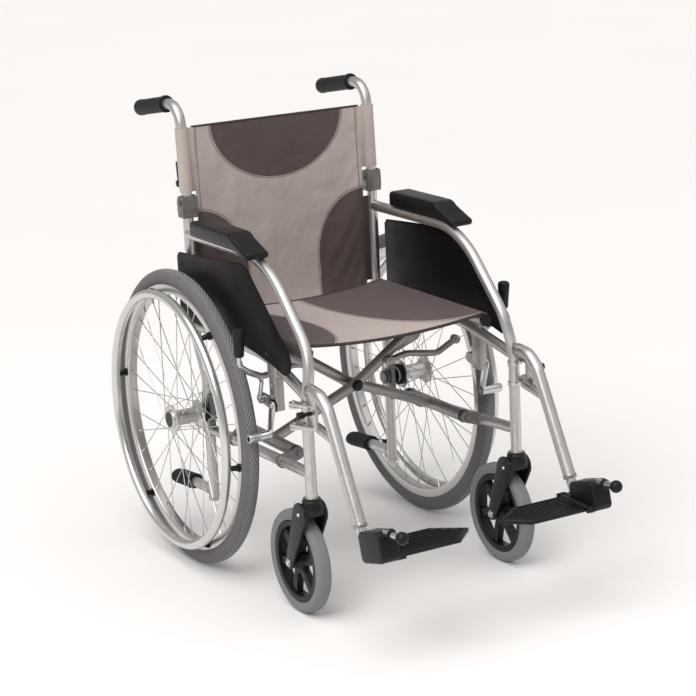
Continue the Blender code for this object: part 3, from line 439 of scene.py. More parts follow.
# %% [markdown]
# ## One recipe for hard finishes
# Metal, plastic and rubber differ in colour, gloss and grain, not in how they are built,
# so one function makes them all: base colour with slow patches, brighter worn edges,
# dust, a roughness that wanders, and a bump from the grain.

# %% Hard finishes


def in_group(tree, group, **values):
    """Places a shared group in a material, its inputs given by name."""
    node = add(tree, "ShaderNodeGroup", node_tree=group)
    for title, value in values.items():
        node.inputs[title.replace("_", " ")].default_value = value
    return node


def mix(tree, share, first, second):
    """A colour mix whose inputs are sockets or plain colours."""
    node = add(tree, "ShaderNodeMix", {0: share}, data_type="RGBA")
    for slot, value in ((6, first), (7, second)):
        if isinstance(value, bpy.types.NodeSocket):
            tree.links.new(value, node.inputs[slot])
        else:
            node.inputs[slot].default_value = (*value, 1.0)
    return node.outputs[2]


def start_material(name):
    """A new material, its node tree and its Principled shader."""
    material = bpy.data.materials.new(name)
    material.use_nodes = True
    tree = material.node_tree
    return material, tree, tree.nodes["Principled BSDF"]


DUST_COLOUR = (0.52, 0.50, 0.47)


def hard(name, colour, rough, metallic=0.0, grain=500.0, bump=0.05, patches=0.06,
         wear=0.3, worn=None, dust=0.1, gloss=0.5):
    """A hard finish; worn is the colour that shows on rubbed edges."""
    material, tree, shader = start_material(name)
    detail = in_group(tree, GRAIN, Scale=grain, Patch_Scale=14.0)
    dark = tuple(c * (1 - patches * 2.2) for c in colour)
    light = tuple(min(1.0, c * (1 + patches) + patches * 0.02) for c in colour)
    base = mix(tree, detail.outputs["Patches"], dark, light)
    rubbed = in_group(tree, WEAR, Amount=wear)
    base = mix(tree, rubbed.outputs[0], base, worn or tuple(min(1.0, c * 1.5 + 0.03) for c in colour))
    settled = in_group(tree, DUST, Amount=dust)
    base = mix(tree, settled.outputs[0], base, DUST_COLOUR)
    tree.links.new(base, shader.inputs["Base Color"])
    wander = add(tree, "ShaderNodeMapRange", {
        "Value": detail.outputs["Patches"], "From Min": 0.3, "From Max": 0.7,
        "To Min": rough * 0.85, "To Max": min(1.0, rough * 1.2)})
    tree.links.new(wander.outputs[0], shader.inputs["Roughness"])
    relief = add(tree, "ShaderNodeBump", {
        "Strength": bump, "Distance": 0.0006, "Height": detail.outputs["Height"]})
    tree.links.new(relief.outputs[0], shader.inputs["Normal"])
    shader.inputs["Metallic"].default_value = metallic
    shader.inputs["Specular IOR Level"].default_value = gloss
    return material


FINISH = {
    "frame": hard("satin_silver_tube", (0.545, 0.535, 0.525), 0.33, 0.92, 900, 0.04, 0.03, 0.15, dust=0.02),
    # The brace finish is darker than the frame because the seat's shadow on the braces is painted into its
    # colour. Links, hanger collars and brake brackets share it.
    "brace": hard("brace_grey_painted_seat_shade", (0.36, 0.35, 0.34), 0.38, 0.9, 800, 0.05, 0.05, 0.2, dust=0.02),
    "cast": hard("cast_grey_fitting", (0.20, 0.195, 0.19), 0.46, 0.85, 300, 0.16, 0.08, 0.35, dust=0.02),
    "rim": hard("rim_aluminium", (0.62, 0.61, 0.595), 0.30, 0.95, 700, 0.03, 0.03, 0.1, dust=0.02),
    "ring": hard("push_ring_aluminium", (0.66, 0.655, 0.64), 0.25, 0.95, 900, 0.03, 0.03, 0.1, dust=0.01),
    "steel": hard("bright_steel", (0.60, 0.60, 0.595), 0.22, 1.0, 900, 0.03, 0.04, 0.1, dust=0.01),
    "tyre": hard("grey_tyre_rubber", (0.138, 0.131, 0.133), 0.70, 0.0, 260, 0.30, 0.10, 0.15,
                 (0.22, 0.22, 0.22), 0.10, gloss=0.35),
    # The tread finish is a lighter copy of the tyre rubber: painted highlight, the light that catches the
    # raised knurl.
    "tread": hard("tread_rubber_painted_highlight", (0.24, 0.24, 0.243), 0.74, 0.0, 260, 0.30, 0.10, 0.3,
                  (0.38, 0.38, 0.38), 0.10, gloss=0.35),
    "caster_tyre": hard("light_grey_tyre", (0.185, 0.190, 0.200), 0.58, 0.0, 220, 0.2, 0.08, 0.1,
                        (0.30, 0.30, 0.31), 0.06, gloss=0.4),
    "black": hard("moulded_black", (0.0085, 0.0075, 0.0075), 0.36, 0.0, 500, 0.12, 0.12, 0.12,
                  (0.04, 0.04, 0.04), 0.005, gloss=0.22),
    "painted": hard("painted_black", (0.008, 0.0072, 0.0072), 0.30, 0.0, 500, 0.05, 0.1, 0.15,
                    (0.06, 0.06, 0.06), 0.005, gloss=0.26),
    "pad": hard("arm_pad_skin", (0.0040, 0.0036, 0.0035), 0.33, 0.0, 320, 0.22, 0.1, 0.06,
                (0.03, 0.03, 0.03), 0.004, gloss=0.26),
    "guard": hard("side_panel_black", (0.0045, 0.0039, 0.0037), 0.45, 0.0, 420, 0.08, 0.12, 0.04,
                  (0.02, 0.02, 0.02), 0.001, gloss=0.09),
    "grip": hard("grip_rubber", (0.0085, 0.0082, 0.0082), 0.48, 0.0, 420, 0.25, 0.12, 0.12,
                 (0.04, 0.04, 0.04), 0.008, gloss=0.24),
    "piping": hard("dark_hem_tape", (0.055, 0.045, 0.043), 0.85, 0.0, 700, 0.4, 0.12, 0.1, dust=0.02,
                   gloss=0.2),
}

# %% [markdown]
# Every finished piece needs a name, a finish, a body to ride on and often a node of the
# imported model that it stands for. One function says all of that, so none is forgotten.

# %% Naming, finish and body in one step
REPLACED = set()


def dress(piece, name, body, slot, finish, *nodes, smooth=34):
    """Names a piece, gives it its finish, hangs it on a body and hides what it replaces."""
    piece.name = piece.data.name = name
    piece.data.materials.clear()
    piece.data.materials.append(finish if isinstance(finish, bpy.types.Material) else FINISH[finish])
    take(piece)
    bpy.ops.object.shade_smooth_by_angle(angle=math.radians(smooth))
    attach(piece, body)
    if nodes:
        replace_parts(piece, *nodes)
        REPLACED.update(nodes)
    return piece


# %% [markdown]
# ## Rear wheels
# A grey pneumatic tyre sits in a silver box rim, laced with 36 thin spokes to a flanged
# hub. The tyre is turned from its section, and the small tread blocks are faces in a
# checkerboard round the crown, each inset and raised by the same operator.

# %% Tyre and tread
AXLE_AT = {side: Vector((side * WHEEL_X, AXLE.y, AXLE.z)) for _, side in SIDES}
RIM_R = 0.2735
TYRE_MIDDLE, TYRE_SECTION = 0.2872, 0.0172
TREAD_ROWS, TREAD_STEPS, TREAD_HEIGHT = 6, 300, 0.0009
BEAD_ANGLE, CROWN_ANGLE = 137, 30.0  # where the section meets the rim, and where the tread ends


def rear_tyre(word, side):
    """The tyre; a checkerboard of faces round its crown becomes the raised tread."""
    centre, crown = AXLE_AT[side], CROWN_ANGLE
    profile = arc(TYRE_MIDDLE, 0, TYRE_SECTION, BEAD_ANGLE, crown, 8)[:-1]
    profile += arc(TYRE_MIDDLE, 0, TYRE_SECTION, crown, -crown, TREAD_ROWS)
    profile += arc(TYRE_MIDDLE, 0, TYRE_SECTION, -crown, -BEAD_ANGLE, 8)[1:]
    profile += [(RIM_R + 0.0008, -0.0105), (RIM_R + 0.0008, 0.0105)]
    piece = turned(profile, centre, (side, 0, 0), TREAD_STEPS, closed=True)
    piece.data.materials.append(FINISH["tyre"])
    piece.data.materials.append(FINISH["tread"])
    take(piece)
    bpy.ops.object.mode_set(mode="EDIT")
    bpy.ops.mesh.select_all(action="DESELECT")
    bpy.ops.mesh.select_mode(type="FACE")
    mesh = bmesh.from_edit_mesh(piece.data)
    for face in mesh.faces:
        spot = face.calc_center_median() - centre
        radius = math.hypot(spot.y, spot.z)
        slope = math.degrees(math.atan2(spot.x, radius - TYRE_MIDDLE))
        row = math.floor((slope + crown) / (2 * crown / TREAD_ROWS))
        step = math.floor((math.atan2(spot.z, spot.y) % math.tau) / math.tau * TREAD_STEPS)
        on_tread = abs(slope) < crown and radius > TYRE_MIDDLE
        face.select = on_tread and (row + step) % 2 == 0
        # Raised blocks take the lighter tread finish, a painted highlight on the knurl; the gaps keep the
        # tyre rubber.
        face.material_index = int(face.select)
    bmesh.update_edit_mesh(piece.data)
    bpy.ops.mesh.inset(thickness=TREAD_HEIGHT, depth=TREAD_HEIGHT, use_individual=True)
    bpy.ops.object.mode_set(mode="OBJECT")
    piece.name = piece.data.name = f"{word}_rear_tyre_treaded"
    take(piece)
    bpy.ops.object.shade_smooth_by_angle(angle=math.radians(28))
    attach(piece, f"{word}_rear_wheel")
    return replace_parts(piece, f"{word}_rear_tyre")


for word, side in SIDES:
    tyre = rear_tyre(word, side)
    print(tyre.name, len(tyre.data.polygons), "faces")

# %% [markdown]
# The rim is one spun section: a flat outer well, two hooked lips and a shallow inner
# crown where the nipples sit. The push ring is a plain round ring held off the rim by six
# black brackets.

# %% Rim and push ring
RIM_HALF, RIM_INNER_R = 0.0118, 0.2570
RING_R, RING_SECTION, RING_OUT = 0.2593, 0.0094, 0.038


def wheel_point(side, radius, angle, out):
    """A point on a wheel from its radius, its angle in degrees and its offset outward."""
    a = math.radians(angle)
    return AXLE_AT[side] + Vector((side * out, radius * math.cos(a), radius * math.sin(a)))


RIM_SECTION = (
    arc(RIM_INNER_R + 0.0035, -RIM_HALF + 0.0045, 0.0045, 270, 190, 4)
    + [(RIM_INNER_R - 0.0010, -0.004), (RIM_INNER_R - 0.0010, 0.004)]
    + arc(RIM_INNER_R + 0.0035, RIM_HALF - 0.0045, 0.0045, 170, 90, 4)
    + [(RIM_R + 0.0010, RIM_HALF), (RIM_R + 0.0022, RIM_HALF - 0.0004),
       (RIM_R + 0.0022, RIM_HALF - 0.0014), (RIM_R + 0.0006, RIM_HALF - 0.0022),
       (RIM_R - 0.002, 0.004), (RIM_R - 0.002, -0.004),
       (RIM_R + 0.0006, -RIM_HALF + 0.0022), (RIM_R + 0.0022, -RIM_HALF + 0.0014),
       (RIM_R + 0.0022, -RIM_HALF + 0.0004), (RIM_R + 0.0010, -RIM_HALF)]
)
TAB_ANGLES = [60 * k + 9 for k in range(6)]

for word, side in SIDES:
    wheel = f"{word}_rear_wheel"
    rim = turned(RIM_SECTION, AXLE_AT[side], (side, 0, 0), 144, closed=True)
    dress(rim, f"{word}_rim", wheel, "wheel_silver", "rim", f"{word}_rear_rim")
    hoop = turned(arc(RING_R, RING_OUT, RING_SECTION, 0, 345, 23), AXLE_AT[side], (side, 0, 0), 144,
                  closed=True)
    dress(hoop, f"{word}_push_ring", wheel, "handrim_silver", "ring", f"{word}_handrim")
    brackets = []
    for angle in TAB_ANGLES:
        foot = wheel_point(side, RING_R + 0.0052, angle, RIM_HALF + 0.0004)
        head = wheel_point(side, RING_R - 0.001, angle, RING_OUT - 0.006)
        brackets.append(soften(rod(foot, head, 0.0062, 0.0052, sides=12), 0.0008))
        collar = wheel_point(side, RING_R + 0.004, angle, RIM_HALF + 0.0004)
        along = wheel_point(side, RING_R + 0.004, angle, RIM_HALF + 0.0034)
        brackets.append(soften(rod(collar, along, 0.0085, sides=20), 0.0006))
    dress(joined(*brackets), f"{word}_ring_brackets", wheel, "caster_black", "black")
print("rims and push rings turned")

# %% [markdown]
# Spokes leave each flange in pairs, one leading and one trailing, and cross three others
# before they reach the rim. Each ends in a small nipple. The hub is turned as one section
# with two flanges, and the axle's nut and cap close its ends.

# %% Spokes and hub
SPOKES_PER_FLANGE, FLANGE_OUT, FLANGE_R = 18, 0.030, 0.0265
HUB_PROFILE = [
    (0.0, 0.0366), (0.0165, 0.0366), (0.0195, 0.0350), (0.0205, 0.0325),
    (0.0205, 0.0322), (0.0290, 0.0318), (0.0300, 0.0310), (0.0300, 0.0292),
    (0.0290, 0.0284), (0.0215, 0.0270), (0.0172, 0.0235), (0.0160, 0.0190),
    (0.0160, -0.0190), (0.0172, -0.0235), (0.0215, -0.0270), (0.0290, -0.0284),
    (0.0300, -0.0292), (0.0300, -0.0310), (0.0290, -0.0318), (0.0180, -0.0330),
    (0.0165, -0.0400), (0.0155, -0.0436), (0.0, -0.0436),
]


def spoke_set(side):
    """All the spokes and nipples of one wheel."""
    parts = []
    pitch = 360 / SPOKES_PER_FLANGE
    for flange in (-1, 1):
        for k in range(SPOKES_PER_FLANGE):
            lead = 1 if k % 2 == 0 else -1
            at_hub = k * pitch + (flange + 1) * pitch / 4
            at_rim = at_hub + lead * 3 * pitch
            low = wheel_point(side, FLANGE_R, at_hub, flange * FLANGE_OUT + lead * 0.0021)
            high = wheel_point(side, RIM_INNER_R + 0.0005, at_rim, flange * 0.0015)
            line = (high - low).normalized()
            parts.append(rod(low, high, 0.00095, sides=8))
            parts.append(rod(high - line * 0.011, high - line * 0.001, 0.0019, 0.0024, sides=10))
            hook = wheel_point(side, FLANGE_R, at_hub, flange * FLANGE_OUT - lead * 0.0026)
            parts.append(rod(low, hook, 0.0013, 0.0019, sides=8))
    return joined(*parts)


for word, side in SIDES:
    wheel = f"{word}_rear_wheel"
    hub = turned(HUB_PROFILE, AXLE_AT[side], (side, 0, 0), 56)
    dress(hub, f"{word}_hub", wheel, "hub_steel", "rim", f"{word}_rear_hub")
    cap = turned([(0.0, 0.0375), (0.0155, 0.0375), (0.0160, 0.0369), (0.0160, 0.0355), (0.0, 0.0355)],
                 AXLE_AT[side], (side, 0, 0), 40)
    ring = turned([(0.0170, -0.0330), (0.0225, -0.0335), (0.0230, -0.0345), (0.0230, -0.0395),
                   (0.0222, -0.0405), (0.0165, -0.0405)], AXLE_AT[side], (side, 0, 0), 40, closed=True)
    cap = joined(cap, ring)
    dress(cap, f"{word}_hub_cap", wheel, "caster_black", "black")
    dress(spoke_set(side), f"{word}_spokes", wheel, "hub_steel", "steel")
print("wheels laced")

# %% [markdown]
# ## Casters
# The small front wheels are solid: a rounded light-grey tyre on a black moulded wheel with
# six spokes, in a black fork whose collar carries the swivel bearing.

# %% Caster wheels
CASTER_HALF, CASTER_SHOULDER, CASTER_SPOKES = 0.0152, 0.0105, 6


def caster_wheel(word, side):
    """Tyre and spoked wheel of one caster."""
    hub = Vector((side * CASTER.x, CASTER.y, CASTER.z))
    body, axis = f"{word}_caster_wheel", (side, 0, 0)
    soft = CASTER_SHOULDER
    tyre = (arc(CASTER_R - soft, CASTER_HALF - soft, soft, 100, 0, 7)
            + arc(CASTER_R - soft, -CASTER_HALF + soft, soft, 0, -100, 7)
            + [(0.0815, -CASTER_HALF + 0.0025), (0.0805, -0.010), (0.0805, 0.010),
               (0.0815, CASTER_HALF - 0.0025)])
    dress(turned(tyre, hub, axis, 96, closed=True), f"{word}_caster_tyre_round", body,
          "caster_tyre_grey", "caster_tyre", f"{word}_caster_tyre")
    band = [(0.0802, -0.0105), (0.0802, 0.0105), (0.0790, 0.0120), (0.0700, 0.0118),
            (0.0685, 0.0105), (0.0680, 0.0), (0.0685, -0.0105), (0.0700, -0.0118), (0.0790, -0.0120)]
    boss = [(0.0065, -0.0150), (0.0130, -0.0150), (0.0145, -0.0138), (0.0190, -0.0090),
            (0.0235, -0.0075), (0.0235, 0.0075), (0.0190, 0.0090), (0.0145, 0.0138),
            (0.0130, 0.0150), (0.0065, 0.0150)]
    parts = [turned(band, hub, axis, 96, closed=True), turned(boss, hub, axis, 48, closed=True)]
    for k in range(CASTER_SPOKES):
        a = math.radians(360 / CASTER_SPOKES * k - 15)
        out, across = Vector((0, math.cos(a), math.sin(a))), Vector((0, -math.sin(a), math.cos(a)))
        low, high = hub + out * 0.021, hub + out * 0.0705
        outline = [low - across * 0.0075, high - across * 0.0095,
                   high + across * 0.0095, low + across * 0.0075]
        parts.append(panel([(p.y, p.z) for p in outline], 0.0150, hub.x, "YZ", soft=0.0022, segments=3))
    dress(joined(*parts), f"{word}_caster_spoked", body, "caster_black", "black", f"{word}_caster_wheel")


for word, side in SIDES:
    caster_wheel(word, side)
print("caster wheels turned")

# %% [markdown]
# The fork is two stamped arms on a crown block, under a collar that hides the swivel
# bearing. The arms trail behind the stem, which lets the wheel turn to follow the chair.

# %% Caster forks


def caster_fork(word, side):
    """Arms, crown, collar and bolts of one caster fork."""
    x = side * CASTER.x
    crown_z = 2 * CASTER_R + 0.004
    arm_x = CASTER_HALF + 0.0073
    parts = []
    for offset in (-arm_x, arm_x):
        leg = capsule((FRONT.y + 0.009, crown_z + 0.003), (CASTER.y, CASTER.z), 0.0245, 0.013, 14)
        parts.append(panel(leg, 0.006, x + offset, "YZ", soft=0.0018, segments=3))
    half = arm_x + 0.003
    inside = half - 0.002
    parts.append(block(Vector((x - inside, FRONT.y - 0.013, crown_z)),
                       Vector((x + inside, FRONT.y + 0.029, crown_z + 0.020)), 0.004, 3))
    collar = [(0.0, 0.0), (0.0215, 0.0), (0.0215, 0.010), (0.0195, 0.013), (0.0190, 0.022),
              (0.0170, 0.024), (0.0170, 0.0263), (0.0, 0.0263)]
    parts.append(turned(collar, Vector((x, FRONT.y, crown_z + 0.009)), (0, 0, 1), 40))
    dress(joined(*parts), f"{word}_fork", f"{word}_caster_fork", "fork_black", "painted",
          f"{word}_caster_fork")
    bolts = []
    for way in (-1, 1):
        face = Vector((x + way * half, CASTER.y, CASTER.z))
        bolts.append(bolt_head(face, (way, 0, 0), 0.0062, 0.0045))
        rivet = Vector((x + way * half, FRONT.y + 0.010, crown_z + 0.004))
        bolts.append(turned([(0.0, 0.0022), (0.0025, 0.0018), (0.0038, 0.0), (0.0, 0.0)],
                            rivet, (way, 0, 0), 20))
    bolts.append(rod(Vector((x - half, CASTER.y, CASTER.z)), Vector((x + half, CASTER.y, CASTER.z)), 0.0055))
    dress(joined(*bolts), f"{word}_fork_bolts", f"{word}_caster_fork", "hub_steel", "steel")


for word, side in SIDES:
    caster_fork(word, side)
print("casters and forks done")

# %% [markdown]
# ## Side frames
# One tube makes the front post and the arm: it rises, leans in a little, and bends back
# into the arm rest. The rear post steps back above the wheel, and two straight tubes tie
# the posts together. The brackets that carry the footrest are small plates on the post.

# %% Frame tubes
SIDE_TUBE_Z = 0.482
POST_LOW_Z, POST_BEND_Z = 0.243, 0.440
REAR_LOW_Y, REAR_LOW_Z = 0.006, 0.113
RAIL_REAR_Z, RAIL_FRONT_Z = 0.268, 0.291
FOOT_ENDS = (-0.330, -0.120)


def ring_on(point, axis, radius, height, soft=0.0008):
    """A short collar round a tube."""
    axis = Vector(axis).normalized()
    return soften(rod(point - axis * height / 2, point + axis * height / 2, radius, sides=36), soft)


def frame_tubes(word, side):
    """The four tubes of one side frame."""
    body = f"{word}_frame"
    fx, ax, rx = side * FRONT_X, side * ARM_X, side * REAR_X
    arm = pipe([(at(fx, FRONT_Y, POST_LOW_Z), 0), (at(fx, FRONT_Y, POST_BEND_Z), 0.06),
                (at(ax, FRONT_Y, 0.512), 0.12), (at(ax, -0.293, ARM_Z), 0.20),
                (at(ax, BACK_Y - 0.004, ARM_Z), 0)], TUBE_R, fine=6, steps=14)
    arm = joined(arm, ring_on(at(fx, FRONT_Y, POST_LOW_Z + 0.0015), (0, 0, 1), 0.0135, 0.003))
    dress(arm, f"{word}_front_and_arm_tube", body, "frame_silver", "frame",
          f"{word}_front_post_arm_tube")
    post = pipe([(at(rx, REAR_LOW_Y, REAR_LOW_Z), 0), (at(rx, REAR_LOW_Y, 0.38), 0.05),
                 (at(rx, BACK_Y, 0.46), 0.05), (at(rx, BACK_Y, 0.7045), 0)], TUBE_R, fine=6, steps=8)
    post = joined(post, ring_on(at(rx, REAR_LOW_Y, REAR_LOW_Z + 0.004), (0, 0, 1), 0.0122, 0.008))
    dress(post, f"{word}_rear_post_tube", body, "frame_silver", "frame", f"{word}_rear_post")
    side_tube = pipe([(at(rx, BACK_Y, SIDE_TUBE_Z), 0), (at(side * 0.220, -0.290, SIDE_TUBE_Z), 0.45),
                      (at(fx, FRONT_Y, SIDE_TUBE_Z - 0.040), 0)], TUBE_R, fine=6, steps=8)
    dress(side_tube, f"{word}_seat_side_pipe", body, "frame_silver", "frame", f"{word}_seat_side_tube")
    rail = pipe([(at(rx, REAR_LOW_Y, RAIL_REAR_Z), 0), (at(fx, FRONT_Y, RAIL_FRONT_Z), 0)], TUBE_R, fine=6)
    dress(rail, f"{word}_lower_pipe", body, "frame_silver", "frame", f"{word}_lower_rail")


for word, side in SIDES:
    frame_tubes(word, side)
print("frame tubes bent")

# %% [markdown]
# The fittings are castings and stampings: a plate that holds the axle, two clamps on the
# lower rail in which a foot of the cross brace turns, and two ears with pins that the
# footrest drops over.

# %% Axle plate, clamps and footrest receivers


def frame_fittings(word, side):
    """Axle plate, brace clamps, axle and footrest receiver of one side."""
    body = f"{word}_frame"
    rx = side * REAR_X
    plate_low = at(rx - 0.0062, REAR_LOW_Y - 0.020, 0.255)
    plate_high = at(rx + 0.0062, REAR_LOW_Y + 0.020, 0.345)
    parts = [block(plate_low, plate_high, 0.003, 3)]
    face = AXLE_AT[side].copy()
    face.x = side * (REAR_X - TUBE_R)
    parts.append(bolt_head(face, (-side, 0, 0), 0.014, 0.009))
    for y, step in zip(FOOT_ENDS, (-1, 1)):
        share = (y - REAR_LOW_Y) / (FRONT_Y - REAR_LOW_Y)
        rail_x = side * (REAR_X + share * (FRONT_X - REAR_X))
        rail_z = RAIL_REAR_Z + share * (RAIL_FRONT_Z - RAIL_REAR_Z)
        clamp = capsule((side * FOOT_X, FOOT_Z), (rail_x, rail_z), 0.012, 0.0135)
        middle = y + AXLE.y + step * 0.0053
        parts.append(panel(clamp, 0.010, middle, "XZ", soft=0.0022, segments=3))
        pin = at(side * FOOT_X, y + step * 0.0103, FOOT_Z)
        parts.append(bolt_head(pin, (0, step, 0), 0.0072, 0.004))
    dress(joined(*parts), f"{word}_frame_fittings", body, "cast_grey", "cast")
    axle = rod(Vector((rx, AXLE.y, AXLE.z)), AXLE_AT[side] + Vector((side * 0.029, 0, 0)), 0.0058)
    nut = bolt_head(Vector((side * (REAR_X + TUBE_R), AXLE.y, AXLE.z)), (side, 0, 0), 0.0125, 0.0045)
    dress(joined(axle, nut), f"{word}_axle", body, "caster_black", "painted")
    ears = []
    for z in TAB_Z:
        low = z - 0.0063
        ear = capsule((side * FRONT_X, FRONT_Y + AXLE.y), (side * TAB_PIN_X, TAB_PIN_Y + AXLE.y),
                      0.012, 0.009)
        ears.append(panel(ear, 0.006, low, "XY", soft=0.0012))
        pin = at(side * TAB_PIN_X, TAB_PIN_Y, low)
        ears.append(soften(rod(pin, pin + Vector((0, 0, 0.012)), 0.004, 0.0034, sides=20), 0.0008))
        ears.append(ring_on(at(side * FRONT_X, FRONT_Y, low), (0, 0, 1), 0.0128, 0.010))
    dress(joined(*ears), f"{word}_footrest_receiver", body, "hub_steel", "steel")


for word, side in SIDES:
    frame_fittings(word, side)
print("side frames done")

# %% [markdown]
# ## Arm pads and side panels
# An arm pad is foam moulded round the arm tube, with a rounded top that dips at the
# front. The side panel is a thin stamped sheet between the arm and the seat.

# %% Arm pads


def arm_pad(word, side):
    """The pad's side outline, as wide as the pad and rounded over its edges."""
    low = ARM_Z + TUBE_R + 0.0004
    high = low + 0.032
    y0 = AXLE.y
    outline = [(-0.040 + y0, low), (-0.040 + y0, high - 0.012)]
    outline += arc(-0.050 + y0, high - 0.010, 0.010, 20, 90, 5)
    outline += arc(-0.205 + y0, high - 0.034, 0.034, 90, 132, 8)
    outline += [(-0.287 + y0, low + 0.001), (-0.285 + y0, low - 0.007)]
    outline += arc(-0.209 + y0, low - 0.2113, 0.2117, 110, 90, 8)
    pad = panel(outline, 0.0508, side * (FRONT_X - 0.001), "YZ", soft=0.0075, segments=5)
    dress(pad, f"{word}_arm_cushion", f"{word}_frame", "pad_black", "pad", f"{word}_arm_pad",
          smooth=CLOTH_SMOOTH)
    return pad


# %% [markdown]
# The side panel keeps clothes off the wheel. Its lower edge follows the seat tube and its
# front is a long slope, so the outline is made of three arcs and a straight back.

# %% Side panels


def side_panel(word, side):
    """One side panel and its screws."""
    low, high, y0 = SIDE_TUBE_Z + 0.018, ARM_Z - TUBE_R, AXLE.y
    outline = [(0.046 + y0, low), (0.046 + y0, high - 0.031), (0.036 + y0, high - 0.022)]
    outline += arc(-0.235 + y0, high - 0.061, 0.060, 90, 135, 8)
    outline += arc(-0.396 + y0, 0.500, 0.028, 145, 260, 12)
    outline += arc(-0.160 + y0, low - 0.960, 0.960, 104, 90, 12)
    guard = panel(outline, 0.0025, side * (FRONT_X + TUBE_R + 0.00225), "YZ", soft=0.0009)
    screws = []
    for y, z in ((0.030, 0.512), (0.030, 0.615), (-0.150, 0.512), (-0.330, 0.500)):
        spot = at(side * (FRONT_X + TUBE_R + 0.0035), y, z)
        screws.append(turned([(0.0, 0.0014), (0.003, 0.0011), (0.0042, 0.0), (0.0, 0.0)],
                             spot, (side, 0, 0), 20))
    dress(joined(*screws), f"{word}_panel_screws", f"{word}_frame", "caster_black", "painted")
    return dress(guard, f"{word}_side_panel", f"{word}_frame", "guard_panel", "guard",
                 f"{word}_skirt_guard")


for word, side in SIDES:
    arm_pad(word, side)
    side_panel(word, side)
print("arm pads and side panels done")

# %% [markdown]
# ## Folding cross brace
# Two bent tubes cross under the seat. Each stands on a hinge tube at one side and carries
# the seat rail of the other side, a gusset stiffens the upper bend, and a bolt joins them
# in the middle. The short links pull the side frames level as the chair opens.

# %% Braces, bolt and links
LINK_Y = {"left": BRACE_Y["brace_a"] - 0.021, "right": BRACE_Y["brace_b"] + 0.021}
BEND_Z, BOLT_Z, BOLT_REACH = 0.373, 0.3742, 0.0113
GUSSET = ((0.060, 0.412), (0.150, 0.443), (0.185, 0.490), (0.100, 0.442))
RAIL_CAP = [(0.0, 0.0018), (0.0090, 0.0016), (0.0118, 0.0004), (0.0121, -0.0060), (0.0, -0.0060)]
RAIL_ENDS = (SEAT_FRONT_Y + 0.002, SEAT_REAR_Y - 0.002)
LINK_EYES = ((0.070, 0.416), (0.228, 0.434))


def brace(name, side):
    """One half of the cross; side is where its foot stands."""
    y = BRACE_Y[name]
    foot_x, rail_x = side * FOOT_X, -side * SEAT_RAIL_X
    foot = rod(at(foot_x, FOOT_ENDS[0], FOOT_Z), at(foot_x, FOOT_ENDS[1], FOOT_Z), 0.0125, sides=32)
    bar = pipe([(at(foot_x, y, FOOT_Z), 0), (at(0, y, BEND_Z), 0.15), (at(rail_x, y, SEAT_RAIL_Z), 0)],
               TUBE_R, fine=6, steps=14)
    gusset = panel([(-side * x, z) for x, z in GUSSET], 0.008, y + AXLE.y, "XZ", soft=0.0015)
    # The darker brace finish paints the seat's shadow onto the bar and its gusset.
    dress(joined(soften(foot, 0.0008), bar, gusset), f"{name}_bar", name, "brace_silver", "brace", name)
    rail = rod(*(at(rail_x, y_end, SEAT_RAIL_Z) for y_end in RAIL_ENDS), TUBE_R, sides=32)
    dress(rail, f"{name}_seat_rail", name, "frame_silver", "frame")
    caps = [turned(RAIL_CAP, at(rail_x, y_end, SEAT_RAIL_Z), (0, way, 0), 36)
            for y_end, way in zip(RAIL_ENDS, (-1, 1))]
    for y_end, way in zip(FOOT_ENDS, (-1, 1)):
        caps.append(ring_on(at(foot_x, y_end - way * 0.0035, FOOT_Z), (0, 1, 0), 0.0134, 0.0066))
    dress(joined(*caps), f"{name}_end_caps", name, "caster_black", "black")


brace("brace_a", -1)
brace("brace_b", 1)
bolt = [bolt_head(at(0, BRACE_Y["brace_a"] - BOLT_REACH, BOLT_Z), (0, -1, 0), 0.0095, 0.006),
        bolt_head(at(0, BRACE_Y["brace_b"] + BOLT_REACH, BOLT_Z), (0, 1, 0), 0.0095, 0.007)]
dress(joined(*bolt), "cross_bolt", "brace_a", "caster_black", "painted", "centre_bolt")
for word, side in SIDES:
    y = LINK_Y[word]
    (inner_x, inner_z), (outer_x, outer_z) = LINK_EYES
    bar = pipe([(at(side * inner_x, y, inner_z), 0), (at(side * 0.110, y, 0.424), 0.05),
                (at(side * 0.183, y, 0.412), 0.03), (at(side * outer_x, y, outer_z), 0)], 0.0065, steps=8)
    eyes = [soften(rod(at(side * x, y - 0.007, z), at(side * x, y + 0.007, z), 0.009, sides=28), 0.001)
            for x, z in LINK_EYES]
    ends = [bolt_head(at(side * x, y - 0.007, z), (0, -1, 0), 0.0045, 0.003) for x, z in LINK_EYES]
    # The links take the darker brace finish, with the seat's shadow painted into its colour.
    dress(joined(bar, *eyes, *ends), f"{word}_link_bar", f"{word}_fold_link", "brace_silver", "brace",
          f"{word}_fold_link")
print("brace done")

# %% [markdown]
# ## Back posts, hinges and push handles
# Each back post hinges in a cast bracket at arm height, so the upper half can fold down.
# A small lever behind it locks the hinge. The push handle bends back into a soft grip
# with finger ridges and a bulb at the end.

# %% Hinge brackets and latches
BRACKET_HALF, BRACKET_CHEEK, BRACKET_DEEP = 0.0165, 0.004, 0.0135


